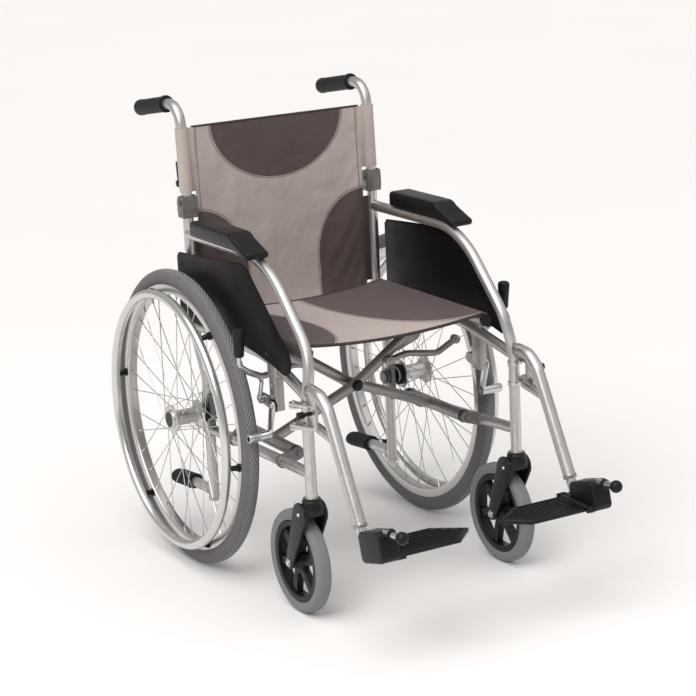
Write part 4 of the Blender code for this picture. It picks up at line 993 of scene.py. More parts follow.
def back_fittings(word, side):
    """The hinge bracket on the rear post and the latch lever behind it."""
    x, pivot = side * REAR_X, BACK_PIVOT_Z
    half, cheek, deep = BRACKET_HALF, BRACKET_CHEEK, BRACKET_DEEP
    parts = [block(at(x - half, BACK_Y - deep, 0.7048), at(x + half, BACK_Y + deep, 0.7158), 0.002)]
    for way in (-1, 1):
        face = [(BACK_Y - deep, 0.7150), (BACK_Y + deep, 0.7150), (BACK_Y + deep, pivot + 0.002)]
        face += arc(BACK_Y, pivot + 0.0015, 0.0130, 0, 180, 12)
        middle = x + way * (half - cheek / 2)
        parts.append(panel([(y + AXLE.y, z) for y, z in face], cheek, middle, "YZ", soft=0.0009))
        parts.append(bolt_head(at(x + way * half, BACK_Y, pivot), (way, 0, 0), 0.0068, 0.004))
    parts.append(block(at(x - half + 0.001, BACK_Y - 0.0137, 0.7150),
                       at(x + half - 0.001, BACK_Y - 0.0118, pivot + 0.0135), 0.0006))
    dress(joined(*parts), f"{word}_hinge_bracket", f"{word}_frame", "cast_grey", "cast",
          f"{word}_back_hinge_bracket")
    y, z = BACK_Y + TUBE_R + 0.0105, pivot + 0.036
    lever = capsule((y + AXLE.y, z), (y + 0.006 + AXLE.y, z + 0.040), 0.0068, 0.0045, 12)
    paddle = panel(lever, 0.012, x, "YZ", soft=0.002, segments=3)
    barrel = soften(rod(at(x - 0.010, y, z), at(x + 0.010, y, z), 0.007, sides=28), 0.001)
    dress(joined(paddle, barrel), f"{word}_back_release", f"{word}_back_latch", "lever_black", "black",
          f"{word}_back_latch")


# %% [markdown]
# The push handle is the upper post carried on: it leans back a little, bends to the rear
# and droops. Its grip is turned from a section with ten shallow ribs.

# %% Push handles and grips
BACK_TOP_Z, GRIP_Y, GRIP_LENGTH, GRIP_DROP, GRIP_RIBS = 0.933, 0.112, 0.138, 0.022, 10
HANDLE_LEAN = 0.008


def grip_point(side, distance):
    """A point along the handle's grip."""
    turn = math.atan2(GRIP_DROP, GRIP_LENGTH)
    return at(side * REAR_X, GRIP_Y + distance * math.cos(turn),
              BACK_TOP_Z - 0.004 - distance * math.sin(turn))


def push_handle(word, side):
    """The upper post with its hinge knuckle, and the ribbed grip."""
    x, body = side * REAR_X, f"{word}_upper_back"
    post = pipe([(at(x, BACK_Y, BACK_PIVOT_Z), 0), (at(x, BACK_Y + HANDLE_LEAN, BACK_TOP_Z), 0.045),
                 (at(x, GRIP_Y, BACK_TOP_Z - 0.004), 0.030), (grip_point(side, 0.050), 0)],
                TUBE_R, fine=6, steps=12)
    knuckle = soften(rod(at(x - 0.0118, BACK_Y, BACK_PIVOT_Z), at(x + 0.0118, BACK_Y, BACK_PIVOT_Z),
                         0.0115, sides=32), 0.001)
    dress(joined(post, knuckle), f"{word}_handle_tube", body, "frame_silver", "frame",
          f"{word}_push_handle")
    profile = [(0.0, 0.001), (0.0112, 0.001), (0.0158, 0.0015), (0.0178, 0.0045), (0.0178, 0.009),
               (0.0160, 0.011)]
    first, last = 0.014, GRIP_LENGTH - 0.022
    step = (last - first) / GRIP_RIBS
    for k in range(GRIP_RIBS):
        start = first + (last - first) * k / GRIP_RIBS
        profile += [(0.0152, start), (0.0163, start + step * 0.25), (0.0163, start + step * 0.70),
                    (0.0152, start + step * 0.95)]
    end = GRIP_LENGTH
    profile += [(0.0160, last + 0.003), (0.0172, end - 0.013), (0.0168, end - 0.006),
                (0.0135, end - 0.0015), (0.008, end), (0.0, end)]
    along = grip_point(side, GRIP_LENGTH) - grip_point(side, 0)
    grip = turned(profile, grip_point(side, 0), along, 48)
    dress(grip, f"{word}_handle_grip", body, "grip_black", "grip", f"{word}_push_grip", smooth=50)


for word, side in SIDES:
    back_fittings(word, side)
    push_handle(word, side)
print("handles done")

# %% [markdown]
# ## Tipping levers and brakes
# A short tube behind each rear post ends in a flat rubber foot that an attendant steps
# on. The brake is a small linkage: the handle turns on the mount and a link presses a
# knurled shoe into the tyre.

# %% Tipping levers
TIP_RIBS, TIP_PITCH = 8, 0.009


def tip_lever(word, side):
    """The lever tube on its weld, and the ribbed rubber foot."""
    x, z = side * REAR_X, REAR_LOW_Z + 0.016
    bar = pipe([(at(x, REAR_LOW_Y, REAR_LOW_Z + 0.020), 0), (at(x, 0.095, z), 0)], TUBE_R, fine=6)
    weld = ring_on(at(x, REAR_LOW_Y + TUBE_R + 0.003, REAR_LOW_Z + 0.0197), (0, 1, 0), 0.0122, 0.006)
    dress(joined(bar, weld), f"{word}_tip_bar", f"{word}_frame", "frame_silver", "frame",
          f"{word}_tip_lever")
    along = at(x, 0.190, REAR_LOW_Z + 0.009) - at(x, 0.090, z)
    profile = [(0.0, 0.0), (0.0128, 0.0), (0.0140, 0.002), (0.0140, 0.010), (0.0128, 0.012)]
    for k in range(TIP_RIBS):
        start = 0.016 + TIP_PITCH * k
        profile += [(0.0128, start), (0.0137, start + 0.0015),
                    (0.0137, start + 0.0055), (0.0128, start + 0.007)]
    profile += [(0.0132, 0.090), (0.0125, 0.097), (0.009, 0.1005), (0.0, 0.1005)]
    foot = turned(profile, at(x, 0.090, z), along, 40)
    take(foot)
    bpy.ops.transform.resize(value=(1.45, 0.86, 1.15), center_override=at(x, 0.135, z - 0.0035))
    settle(foot)
    dress(foot, f"{word}_tip_rubber", f"{word}_frame", "grip_black", "grip", smooth=50)


# %% [markdown]
# The brake bracket is clamped to the seat tube. The lever is a bent rod on a round disc,
# and the shoe is a short tube on a flat link. Each moving part is its own piece, because
# each rides on its own body.

# %% Brakes
BRAKE_X, BRACKET_FACE_X = 0.2435, 0.2390
BRAKE_YZ, SHOE_YZ, SHOE_AT = (-0.285, 0.402), (-0.335, 0.398), (-0.3165, 0.336)


def brake(word, side):
    """Bracket, lever, grip and shoe of one brake."""
    py, pz = BRAKE_YZ
    sy, sz = SHOE_YZ
    x, outer = side * BRAKE_X, side * BRACKET_FACE_X
    parts = [block(at(side * 0.222, sy - 0.012, sz - 0.010), at(outer, sy + 0.018, 0.456), 0.002)]
    arm = capsule((sy + AXLE.y, sz), (py + AXLE.y, pz), 0.013, 0.011, 12)
    parts.append(panel(arm, 0.005, outer - side * 0.0025, "YZ", soft=0.001))
    parts.append(block(at(side * 0.2205, -0.350, 0.4525), at(side * 0.2405, -0.314, 0.4905), 0.004, 3))
    parts += [bolt_head(at(outer, y, z), (side, 0, 0), 0.0058, 0.0040)
              for y, z in ((-0.332, 0.436), (-0.332, 0.416))]
    # The bracket takes the darker brace finish, which has the seat's shadow painted into its colour.
    dress(joined(*parts), f"{word}_brake_bracket", f"{word}_frame", "cast_grey", "brace",
          f"{word}_brake_mount")
    low = at(side * 0.300, py - 0.034, pz + 0.100)
    high = low + Vector((0, -0.004, 0.055))
    lever = pipe([(at(x, py, pz + 0.003), 0), (at(x, py - 0.013, pz + 0.042), 0.02),
                  (low + Vector((0, 0.001, -0.018)), 0.012), (low.lerp(high, 0.6), 0)], 0.0042, steps=8)
    disc = soften(rod(at(x - side * 0.0042, py, pz), at(x + side * 0.002, py, pz), 0.010, sides=32), 0.0006)
    pin = bolt_head(at(x + side * 0.002, py, pz), (side, 0, 0), 0.0048, 0.003)
    dress(joined(lever, disc, pin), f"{word}_brake_arm", f"{word}_brake_lever", "hub_steel", "steel",
          f"{word}_brake_lever")
    grip = turned([(0.0, 0.0), (0.0085, 0.0), (0.0100, 0.003), (0.0104, 0.020), (0.0118, 0.042),
                   (0.0122, 0.049), (0.0105, 0.0535), (0.006, 0.055), (0.0, 0.055)],
                  low, high - low, 32)
    dress(grip, f"{word}_brake_knob", f"{word}_brake_lever", "lever_black", "grip",
          f"{word}_brake_grip")
    y, z = SHOE_AT
    link = capsule((sy + AXLE.y, sz), (y + AXLE.y, z), 0.010, 0.0075, 12)
    link = panel(link, 0.004, x, "YZ", soft=0.0008)
    shoe = turned([(0.0055, 0.0), (0.0086, 0.0), (0.0090, 0.0008), (0.0090, 0.0466), (0.0086, 0.0474),
                   (0.0055, 0.0474)], at(side * 0.2415, y, z), (side, 0, 0), 36, closed=True)
    pivot = bolt_head(at(x + side * 0.002, sy, sz), (side, 0, 0), 0.0052, 0.003)
    dress(joined(link, shoe, pivot), f"{word}_brake_press", f"{word}_brake_shoe", "hub_steel", "steel",
          f"{word}_brake_shoe")


for word, side in SIDES:
    tip_lever(word, side)
    brake(word, side)
print("levers and brakes done")

# %% [markdown]
# ## Footrests
# Each footrest hangs on the two pins of the front post, swings outward, and is held by a
# sprung latch. A thinner tube slides inside the hanger and carries a block, and the
# moulded footplate hinges on the block.

# %% Hangers and latches
HANGER_R, HANGER_TOP_Z, COLLAR_R = 0.0125, 0.455, 0.0134
BEND = Vector((0, -0.532, HANGER_TOP_Z - 0.022))
DOWN = Vector((0, HANGER_END[0] - BEND.y, HANGER_END[1] - BEND.z)).normalized()


def hanger(word, side):
    """The hanger tube, its plates and collars, and the latch's button."""
    x, body = side * FRONT_X, f"{word}_hanger"
    end = at(x, *HANGER_END)
    tube = pipe([(at(x, FRONT_Y - TUBE_R - 0.0003, HANGER_TOP_Z), 0),
                 (at(x, FRONT_Y - 0.050, HANGER_TOP_Z), 0.040),
                 (at(x, BEND.y, BEND.z), 0.045), (end, 0)], HANGER_R, fine=6, steps=12)
    dress(tube, f"{word}_hanger_tube", body, "frame_silver", "frame", f"{word}_hanger")
    wx, wy = side * (FRONT_X + 0.010), FRONT_Y - 0.040
    parts = [block(at(wx - 0.003, wy - 0.016, TAB_Z[1] - 0.003),
                   at(wx + 0.003, wy + 0.012, HANGER_TOP_Z), 0.001)]
    for z in TAB_Z:
        tab = capsule((side * TAB_PIN_X, TAB_PIN_Y + AXLE.y), (wx, wy + AXLE.y), 0.009, 0.007, 12)
        parts.append(panel(tab, 0.006, z, "XY", soft=0.001))
    strut = rod(at(x, wy + 0.006, TAB_Z[1]), at(x, BEND.y - 0.028, TAB_Z[1] - 0.012), 0.009, sides=28)
    parts.append(soften(strut, 0.0015))
    dress(joined(*parts), f"{word}_hanger_plates", body, "hub_steel", "frame")
    rings = [ring_on(at(x, FRONT_Y - 0.0195, HANGER_TOP_Z), (0, 1, 0), COLLAR_R, 0.012),
             ring_on(end - DOWN * 0.003, DOWN, COLLAR_R, 0.008, 0.0015)]
    # The collars take the darker brace finish, which has the seat's shadow painted into its colour.
    dress(joined(*rings), f"{word}_hanger_collars", body, "hub_steel", "brace")
    latch_z = TAB_Z[0] - 0.012
    tip = at(side * (FRONT_X + 0.036), wy, latch_z)
    stem = rod(at(side * (FRONT_X + 0.0128), wy, latch_z), tip, 0.004, sides=20)
    knob = rod(tip - Vector((side * 0.007, 0, 0)), tip + Vector((side * 0.006, 0, 0)), 0.0068, sides=28)
    soften(knob, 0.0015)
    dress(joined(stem, knob), f"{word}_hanger_release", f"{word}_hanger_latch", "lever_black", "black",
          f"{word}_hanger_latch")


# %% [markdown]
# The block on the sliding tube is a rounded moulding, tipped so that its front is higher.
# The plate hinges on a pin between two ears of the block, is level, and has seven ribs
# that keep a shoe from sliding.

# %% Blocks, knobs and footplates
PLATE_REAR_Y, PLATE_MIDDLE_Y, PLATE_FRONT_Y = -0.643, -0.686, -0.729
HINGE_X, PLATE_AXIS_Z = 0.2045, 0.2053
PLATE_EDGE = ((HINGE_X, PLATE_REAR_Y), (0.093, PLATE_REAR_Y), (0.033, PLATE_MIDDLE_Y),
              (0.078, PLATE_FRONT_Y), (HINGE_X, PLATE_FRONT_Y))
EAR_FRONT_Y, EAR_REAR_Y = -0.734, -0.638
PLATE_RIBS, RIB_PITCH = 7, 0.0112


def pitched(piece):
    """Tips a piece that was made level about the middle of the foot block."""
    middle = Matrix.Translation(at(0, *BLOCK_MIDDLE))
    piece.matrix_world = middle @ Matrix.Rotation(-math.radians(BLOCK_TILT), 4, "X") @ middle.inverted()
    return settle(piece)


def foot_block(word, side):
    """The sliding tube, the block with its ears and sill, and the knob."""
    x, body = side * FRONT_X, f"{word}_foot_extension"
    end = at(x, *HANGER_END)
    inner = rod(end - DOWN * 0.118, end + DOWN * 0.046, 0.0098, sides=32)
    dress(inner, f"{word}_sliding_tube", body, "hub_steel", "steel", f"{word}_foot_extension")
    y, z = BLOCK_MIDDLE
    long, tall, r = 0.039, 0.029, 0.012
    outline = [p for u, v, start in ((1, 1, 0), (-1, 1, 90), (-1, -1, 180), (1, -1, 270))
               for p in arc(y + AXLE.y + u * (long - r), z + v * (tall - r), r, start, start + 90, 6)]
    body_block = panel(outline, 0.040, x, "YZ", soft=0.004, segments=4)
    ears = [block(at(side * 0.198, py - 0.0025, PLATE_AXIS_Z - 0.0065),
                  at(side * 0.217, py + 0.0025, PLATE_AXIS_Z + 0.0065), 0.001)
            for py in (EAR_FRONT_Y, EAR_REAR_Y)]
    sill = block(at(side * 0.213, EAR_FRONT_Y, PLATE_AXIS_Z - 0.0055),
                 at(side * 0.230, EAR_REAR_Y, PLATE_AXIS_Z + 0.005), 0.001)
    top = at(x, -0.780, 0.2565)
    collar = rod(at(x, -0.7420, 0.2520), at(x, -0.7480, 0.2525), 0.0098, sides=28)
    black = joined(pitched(body_block), sill, *ears, soften(collar, 0.001), ball(top, 0.012))
    dress(black, f"{word}_foot_block", body, "plate_black", "black")
    neck = rod(at(x, -0.722, 0.2500), top, 0.0075, 0.0065, sides=28)
    bolt = pitched(bolt_head(at(x, y + 0.006, z - tall), (0, 0, -1), 0.006, 0.006))
    dress(joined(neck, bolt), f"{word}_foot_bolts", body, "hub_steel", "steel")


def footplate(word, side):
    """The plate, its hinge knuckle, and ribs as long as the pointed outline allows."""
    edge = [(side * u, v + AXLE.y) for u, v in PLATE_EDGE]
    slab = panel(edge, 0.009, PLATE_AXIS_Z - 0.0015, "XY", soft=0.003, segments=3)
    ribs = []
    for k in range(PLATE_RIBS):
        v = PLATE_REAR_Y - 0.0095 - RIB_PITCH * k
        inner = 0.040 + max(0.0, PLATE_MIDDLE_Y - v) * 1.06 + max(0.0, v - PLATE_MIDDLE_Y) * 1.42
        ribs.append(block(at(side * (inner + 0.008), v - 0.0016, PLATE_AXIS_Z + 0.0020),
                          at(side * 0.194, v + 0.0016, PLATE_AXIS_Z + 0.0046), 0.0010))
    knuckle = rod(at(side * HINGE_X, PLATE_FRONT_Y + 0.0005, PLATE_AXIS_Z),
                  at(side * HINGE_X, PLATE_REAR_Y - 0.0005, PLATE_AXIS_Z), 0.0065, sides=28)
    dress(joined(slab, soften(knuckle, 0.0008), *ribs), f"{word}_foot_support", f"{word}_footplate",
          "plate_black", "black", f"{word}_footplate")


for word, side in SIDES:
    hanger(word, side)
    foot_block(word, side)
    footplate(word, side)
print("footrests done")

# %% [markdown]
# ## Upholstery cloth
# Seat and back are the same coated nylon in two shades: light panels with dark shapes
# sewn in. The weave, the slubs and the sewn shapes are all masks on object coordinates,
# so one recipe serves both, and only the list of dark shapes differs.

# %% Sewn shapes and cloth material


def zone_group():
    """The inside of an ellipse, and the stitched line round it."""
    tree, inside, out = new_group(
        "sewn_ellipse", [("U", 0.0), ("V", 0.0), ("Centre U", 0.0), ("Centre V", 0.0),
                         ("Radius U", 0.1), ("Radius V", 0.1)], ["Mask", "Seam"])
    terms = []
    for k in range(2):
        away = math_node(tree, "SUBTRACT", inside.outputs[k], inside.outputs[k + 2])
        share = math_node(tree, "DIVIDE", away, inside.outputs[k + 4])
        terms.append(math_node(tree, "MULTIPLY", share, share))
    reach = math_node(tree, "SQRT", math_node(tree, "ADD", *terms))
    mask = add(tree, "ShaderNodeMapRange", {"Value": reach, "From Min": 1.006, "From Max": 0.994}).outputs[0]
    off = math_node(tree, "ABSOLUTE", math_node(tree, "SUBTRACT", reach, 1.022))
    seam = add(tree, "ShaderNodeMapRange", {"Value": off, "From Min": 0.020, "From Max": 0.004}).outputs[0]
    tree.links.new(mask, out.inputs[0])
    tree.links.new(seam, out.inputs[1])
    return tree


ZONE = zone_group()
LIGHT_CLOTH, DARK_CLOTH, THREAD = (0.450, 0.384, 0.358), (0.084, 0.0565, 0.0565), (0.05, 0.038, 0.036)


def shades(tree, share, colour, low, high):
    """A mix of two tints of one colour."""
    return mix(tree, share, tuple(c * low for c in colour), tuple(c * high for c in colour))


def cloth(name, across, down, shapes, seams=()):
    """Coated nylon; shapes are dark ellipses (centre u, centre v, radius u, radius v, runs on below)."""
    material, tree, shader = start_material(name)
    place = add(tree, "ShaderNodeTexCoord").outputs["Object"]
    split = add(tree, "ShaderNodeSeparateXYZ", {0: place})
    u, v = split.outputs[across], split.outputs[down]
    dark, line = 0.0, 0.0
    for centre_u, centre_v, radius_u, radius_v, open_below in shapes:
        height = math_node(tree, "MAXIMUM", v, centre_v) if open_below else v
        zone = in_group(tree, ZONE, Centre_U=centre_u, Centre_V=centre_v,
                        Radius_U=radius_u, Radius_V=radius_v)
        tree.links.new(u, zone.inputs["U"])
        tree.links.new(height, zone.inputs["V"])
        dark = math_node(tree, "MAXIMUM", zone.outputs[0], dark)
        line = math_node(tree, "MAXIMUM", zone.outputs[1], line)
    for x in seams:
        off = math_node(tree, "ABSOLUTE", math_node(tree, "SUBTRACT", math_node(tree, "ABSOLUTE", u), x))
        stitched = add(tree, "ShaderNodeMapRange", {"Value": off, "From Min": 0.0019, "From Max": 0.0009})
        line = math_node(tree, "MAXIMUM", stitched.outputs[0], line)
    woven = in_group(tree, WEAVE, Threads=2600.0)
    detail = in_group(tree, GRAIN, Scale=700.0, Patch_Scale=9.0)
    pale = shades(tree, detail.outputs["Patches"], LIGHT_CLOTH, 0.88, 1.10)
    deep = shades(tree, detail.outputs["Patches"], DARK_CLOTH, 0.82, 1.16)
    base = mix(tree, dark, pale, deep)
    threads = mix(tree, woven.outputs["Shade"], (0.80, 0.80, 0.80), (1.16, 1.16, 1.16))
    shaded = add(tree, "ShaderNodeMix", {0: 0.7, 6: base, 7: threads}, data_type="RGBA",
                 blend_type="MULTIPLY")
    lined = mix(tree, math_node(tree, "MULTIPLY", line, 0.55), shaded.outputs[2], THREAD)
    tree.links.new(lined, shader.inputs["Base Color"])
    height = math_node(tree, "SUBTRACT", woven.outputs["Height"], math_node(tree, "MULTIPLY", line, 3.0))
    relief = add(tree, "ShaderNodeBump", {"Strength": 0.35, "Distance": 0.0004, "Height": height})
    crease = in_group(tree, GRAIN, Scale=13.0, Patch_Scale=6.0)
    soft = add(tree, "ShaderNodeBump", {"Strength": 0.55, "Distance": 0.014,
                                        "Height": crease.outputs["Height"],
                                        "Normal": relief.outputs[0]})
    tree.links.new(soft.outputs[0], shader.inputs["Normal"])
    shader.inputs["Roughness"].default_value = 0.78
    shader.inputs["Sheen Weight"].default_value = 0.15
    return material


SEAT_CLOTH = cloth(
    "seat_cloth", 0, 1,
    [(-0.200, AXLE.y - 0.235, 0.116, 0.190, False), (0.200, AXLE.y - 0.050, 0.200, 0.340, False)])
BACK_CLOTH = cloth(
    "back_cloth", 0, 2,
    [(0.0, 0.890, 0.152, 0.128, False), (0.198, 0.578, 0.114, 0.136, True),
     (-0.198, 0.578, 0.114, 0.136, True)], seams=(0.186,))
print("cloth finishes ready")

# %% [markdown]
# ## Seat
# The seat sling is a flat cloth carried by the two seat rails. A cloth simulation lets it
# hang between them, and its side hems are then drawn round the rails, edge by edge, as
# the sewn tunnels of the real seat are.

# %% Cloth helpers
RAIL_WRAP = TUBE_R + 0.0017
CLOTH_T = 0.0024
WRAP_STEP, WRAP_COUNT = 15, 11  # degrees, and how many points reach round a rail
CLOTH_FRONT_Y, CLOTH_REAR_Y = SEAT_FRONT_Y + 0.012, SEAT_REAR_Y - 0.006


def simulated(piece, pinned, slack, frames, stiff=120.0):
    """Hangs a grid from its pinned vertices and keeps the shape it settles in."""
    group = piece.vertex_groups.new(name="held")
    group.add([v.index for v in piece.data.vertices if pinned(v.co)], 1.0, "REPLACE")
    take(piece)
    bpy.ops.object.modifier_add(type="CLOTH")
    settings = piece.modifiers[-1].settings
    settings.quality = 8
    settings.mass = 0.35
    settings.tension_stiffness = settings.compression_stiffness = stiff
    settings.shear_stiffness = stiff * 0.4
    settings.bending_stiffness = 0.6
    settings.vertex_group_mass = "held"
    settings.shrink_min = -slack
    settings.effector_weights.gravity = 0.35
    for step in range(1, frames + 1):
        bpy.context.scene.frame_set(step)
    bpy.ops.object.modifier_apply(modifier=piece.modifiers[-1].name)
    bpy.context.scene.frame_set(1)
    piece.vertex_groups.clear()
    return piece


def grid(low, high, cells, upright=False):
    """A flat grid of cloth between two corners, level or upright."""
    clear()
    turn = (math.radians(90), 0, 0) if upright else (0, 0, 0)
    bpy.ops.mesh.primitive_grid_add(x_subdivisions=cells[0], y_subdivisions=cells[1], size=1,
                                    location=(low + high) / 2, rotation=turn)
    piece = bpy.context.object
    size = high - low
    piece.scale = (size.x, size.z if upright else size.y, 1)
    return settle(piece)


def edge_points(piece, chosen):
    """Points of one free edge of a grid, from right to left."""
    return sorted((v.co.copy() for v in piece.data.vertices if chosen(v.co)), key=lambda p: p.x)


def wrap_edge(piece, side):
    """Draws a side edge round its rail in short steps."""
    take(piece)
    bpy.ops.object.mode_set(mode="EDIT")
    bpy.ops.mesh.select_mode(type="EDGE")
    bpy.ops.mesh.select_all(action="DESELECT")
    mesh = bmesh.from_edit_mesh(piece.data)
    for edge in mesh.edges:
        if all(abs(v.co.x - side * SEAT_RAIL_X) < 1e-4 for v in edge.verts) and edge.is_boundary:
            edge.select_set(True)
    bmesh.update_edit_mesh(piece.data)
    angles = [math.radians(90 - WRAP_STEP * k) for k in range(WRAP_COUNT)]
    for a, b in zip(angles, angles[1:]):
        step = Vector((side * (math.cos(b) - math.cos(a)), 0, math.sin(b) - math.sin(a))) * RAIL_WRAP
        bpy.ops.mesh.extrude_region_move(TRANSFORM_OT_translate={"value": step})
    bpy.ops.object.mode_set(mode="OBJECT")


# %% Seat sling
CELLS = 72
FRAMES = 40
seat_z = SEAT_RAIL_Z + RAIL_WRAP
seat = grid(at(-SEAT_RAIL_X, CLOTH_FRONT_Y, seat_z), at(SEAT_RAIL_X, CLOTH_REAR_Y, seat_z), (CELLS, CELLS))
simulated(seat, lambda p: abs(p.x) > SEAT_RAIL_X - 0.004, 0.001, FRAMES)
front_edge = edge_points(seat, lambda p: abs(p.y - AXLE.y - CLOTH_FRONT_Y) < 0.003)
rear_edge = edge_points(seat, lambda p: abs(p.y - AXLE.y - CLOTH_REAR_Y) < 0.003)
wrap_edge(seat, -1)
wrap_edge(seat, 1)
take(seat)
bpy.ops.object.mode_set(mode="EDIT")
bpy.ops.mesh.select_all(action="SELECT")
bpy.ops.mesh.normals_make_consistent(inside=False)
bpy.ops.object.mode_set(mode="OBJECT")
modify(seat, "SOLIDIFY", thickness=CLOTH_T, offset=0)
seat.name = seat.data.name = "seat_cover"
seat.data.materials.append(SEAT_CLOTH)
take(seat)
bpy.ops.object.shade_smooth_by_angle(angle=math.radians(CLOTH_SMOOTH))
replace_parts(seat, "seat_sling")
lowest = min(p.z for p in front_edge)
print("seat sags", round((seat_z - lowest) * 1000, 1), "mm")

# %% [markdown]
# A hem is a rolled edge, so it is a thin cord along the free edge that the simulation
# left.

# %% Seat hems
for edge, title in ((front_edge, "front"), (rear_edge, "rear")):
    hem = pipe([(p, 0) for p in edge], 0.0031, fine=3)
    hem.name = hem.data.name = f"seat_{title}_hem"
    hem.data.materials.append(FINISH["piping"])
    take(hem)
    bpy.ops.object.shade_smooth_by_angle(angle=math.radians(CLOTH_SMOOTH))
    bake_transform(hem)
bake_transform(seat)

# %% [markdown]
# ## Back
# The back is simulated in one piece, so that its creases run through, and is then cut at
# the hinge line. Tunnels of the same cloth close round the upper posts, and narrow strips
# carry the lower half on the rear posts.

# %% Back sling
BACK_HALF, BACK_LOW_Z, BACK_HIGH_Z = 0.1940, 0.470, 0.886
BOW_TOP, BOW_MORE, BOW_FADE = 0.002, 0.006, 0.12  # bulge at the top edge, what it gains, over what height


def lean(z):
    """How far the upper post has leaned back at a height."""
    return HANDLE_LEAN * max(0.0, z - BACK_PIVOT_Z) / (BACK_TOP_Z - BACK_PIVOT_Z)


back = grid(at(-BACK_HALF, BACK_Y, BACK_LOW_Z), at(BACK_HALF, BACK_Y, BACK_HIGH_Z), (CELLS, CELLS),
            upright=True)
for vertex in back.data.vertices:
    bow = math.cos(vertex.co.x / BACK_HALF * math.pi / 2)
    low = min(1.0, (BACK_HIGH_Z - vertex.co.z) / BOW_FADE)
    vertex.co.y += lean(vertex.co.z) + (BOW_TOP + BOW_MORE * low) * bow
simulated(back, lambda p: abs(p.x) > BACK_HALF - 0.004 or p.z > BACK_HIGH_Z - 0.003, 0.003, FRAMES)
top_edge = edge_points(back, lambda p: p.z > BACK_HIGH_Z - 0.0035)
print("back hangs with", len(back.data.vertices), "vertices")

# %% [markdown]
# The back folds at its hinge line, so the cloth is cut there: bisect lays an edge on the
# line, and what lies above it becomes its own piece.

# %% Cutting the back at its hinge
take(back)
bpy.ops.object.mode_set(mode="EDIT")
bpy.ops.mesh.select_mode(type="FACE")
bpy.ops.mesh.select_all(action="SELECT")
bpy.ops.mesh.bisect(plane_co=(0, 0, BACK_PIVOT_Z), plane_no=(0, 0, 1))
bpy.ops.mesh.select_all(action="DESELECT")
mesh = bmesh.from_edit_mesh(back.data)
for face in mesh.faces:
    face.select_set(face.calc_center_median().z > BACK_PIVOT_Z)
bmesh.update_edit_mesh(back.data)
bpy.ops.mesh.separate(type="SELECTED")
bpy.ops.object.mode_set(mode="OBJECT")
upper = next(o for o in bpy.context.selected_objects if o is not back)
PANELS = {}
for piece, title, body, node in ((back, "lower", "right_frame", "back_sling_lower"),
                                 (upper, "upper", "right_upper_back", "back_sling_upper")):
    modify(piece, "SOLIDIFY", thickness=CLOTH_T, offset=0)
    dress(piece, f"back_cover_{title}", body, "back_fabric", BACK_CLOTH, node, smooth=CLOTH_SMOOTH)
    PANELS[title] = piece

# %% [markdown]
# The sleeves round the upper posts are turned, and a flat flap joins each to the back.
# The lower half has no sleeve: a strip on each side holds it to the rear post.

# %% Top hem, post tunnels and strips
TUNNEL_LOW_Z, STRIP_LOW_Z, STRIP_HIGH_Z = 0.7560, 0.512, 0.694
hem = pipe([(p, 0) for p in top_edge], 0.0024, fine=3)
dress(hem, "back_top_hem", "right_upper_back", "back_fabric", "piping", smooth=CLOTH_SMOOTH)


def tunnel(word, side):
    """The sleeve of cloth round an upper post, with the flap that joins it to the back."""
    low_z, high_z = TUNNEL_LOW_Z, BACK_HIGH_Z - 0.0005
    centre = at(side * REAR_X, BACK_Y + lean(low_z), low_z)
    line = at(side * REAR_X, BACK_Y + lean(high_z), high_z) - centre
    section = [(0.0112, 0.0), (0.0131, 0.0), (0.0134, 0.004), (0.0132, 0.030), (0.0134, 0.060),
               (0.0131, 0.095), (0.0134, line.length - 0.003), (0.0131, line.length), (0.0112, line.length)]
    sleeve = turned(section, centre, line, 40, closed=True)
    post_x, edge_x = side * (REAR_X - 0.008), side * (BACK_HALF - 0.003)
    middle = BACK_Y + (lean(low_z) + lean(high_z)) / 2 + AXLE.y
    flap = panel([(post_x, low_z), (edge_x, low_z), (edge_x, high_z), (post_x, high_z)],
                 0.0042, middle, "XZ", soft=0.0008)
    return dress(joined(sleeve, flap), f"{word}_post_tunnel", f"{word}_upper_back", "back_fabric",
                 TUNNEL_CLOTH, smooth=CLOTH_SMOOTH)


def strip(word, side):
    """The narrow strip that carries the lower back on the rear post."""
    edge_x, post_x = side * (BACK_HALF - 0.004), side * (REAR_X - 0.007)
    outline = [(edge_x, STRIP_LOW_Z), (post_x, STRIP_LOW_Z), (post_x, STRIP_HIGH_Z), (edge_x, STRIP_HIGH_Z)]
    piece = panel(outline, 0.0040, BACK_Y + AXLE.y, "XZ", soft=0.0008)
    return dress(piece, f"{word}_back_strip", f"{word}_frame", "back_fabric", "piping",
                 smooth=CLOTH_SMOOTH)


TUNNEL_CLOTH = cloth("tunnel_cloth", 0, 2, [])
tunnels = [tunnel(word, side) for word, side in SIDES]
strips = [strip(word, side) for word, side in SIDES]
for title in ("lower", "upper"):
    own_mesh(PANELS[title])
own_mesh(hem)
print("upholstery done")

# %% [markdown]
# ## Remaining parts, floor and light
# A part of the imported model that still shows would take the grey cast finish. A pale
# floor and sky, two wide suns and one soft lamp give the even light of a studio.

# %% Finishes on carried-over nodes
for name, node in frame["nodes"].items():
    if name not in REPLACED and not node.hide_render:
        node.data.materials.clear()
        node.data.materials.append(FINISH["cast"])
        print("kept:", name)

# %% Floor and lights
bpy.context.scene.view_settings.view_transform = "Standard"


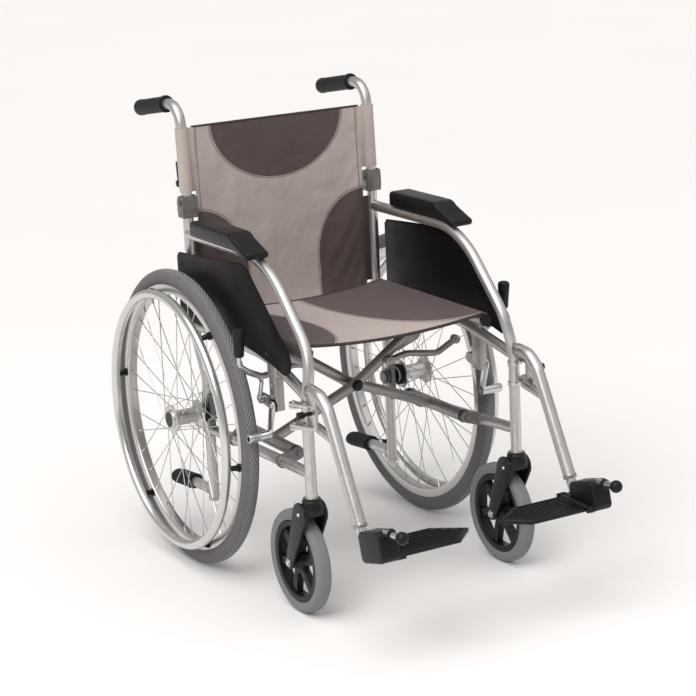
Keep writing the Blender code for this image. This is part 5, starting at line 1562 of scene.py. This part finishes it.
def studio_floor():
    """A wide pale floor with faint clouds in its colour."""
    material, tree, shader = start_material("studio_floor")
    detail = in_group(tree, GRAIN, Scale=60.0, Patch_Scale=0.8)
    base = mix(tree, detail.outputs["Patches"], (0.86, 0.855, 0.85), (0.90, 0.895, 0.89))
    tree.links.new(base, shader.inputs["Base Color"])
    shader.inputs["Roughness"].default_value = 0.85
    clear()
    bpy.ops.mesh.primitive_plane_add(size=60, location=(0, 0, -0.0005))
    floor = bpy.context.object
    floor.name = "floor"
    floor.data.materials.append(material)


WARM = (1.0, 0.965, 0.95)  # a slightly warm white


def lamp(place, size, watts, target=(0, 0, 0.45)):
    """A square soft lamp that faces the chair."""
    clear()
    turn = (Vector(target) - Vector(place)).to_track_quat("-Z", "Y").to_euler()
    bpy.ops.object.light_add(type="AREA", location=place, rotation=turn)
    light = bpy.context.object.data
    light.shape, light.size, light.energy = "SQUARE", size, watts


def sun(watts, angle, heading, height):
    """A wide soft sun that shines from a compass heading and a height, in degrees."""
    clear()
    a, h = math.radians(heading), math.radians(height)
    away = Vector((math.cos(h) * math.sin(a), -math.cos(h) * math.cos(a), math.sin(h)))
    bpy.ops.object.light_add(type="SUN", rotation=away.to_track_quat("Z", "Y").to_euler())
    light = bpy.context.object.data
    light.energy, light.angle, light.color = watts, math.radians(angle), WARM


studio_floor()
world = bpy.data.worlds.new("studio")
bpy.context.scene.world = world
world.use_nodes = True
sky = world.node_tree.nodes["Background"]
sky.inputs["Color"].default_value = (0.96, 0.938, 0.928, 1.0)
sky.inputs["Strength"].default_value = 0.50
sun(1.75, 60, -70, 58)
sun(0.60, 70, 40, 65)
lamp((-2.2, -1.6, 2.6), 1.4, 22)

# %% [markdown]
# ## Camera
# A long lens from well back and a little above keeps the wheels nearly round, as a
# catalogue view does. The camera aims at the middle of the chair and is rolled slightly.

# %% Camera
EYE, LOOK_AT = Vector((-2.0054, -3.5430, 1.5104)), Vector((0, 0.0382, 0.4448))
ROLL, LENS = -2.7276, 109.4
clear()
bpy.ops.object.camera_add(location=EYE)
camera = bpy.context.object
camera.data.lens = LENS
camera.data.sensor_width = 36
facing = (LOOK_AT - EYE).to_track_quat("-Z", "Y").to_matrix().to_4x4()
camera.matrix_world = Matrix.Translation(EYE) @ facing @ Matrix.Rotation(math.radians(ROLL), 4, "Z")
bpy.context.scene.camera = camera
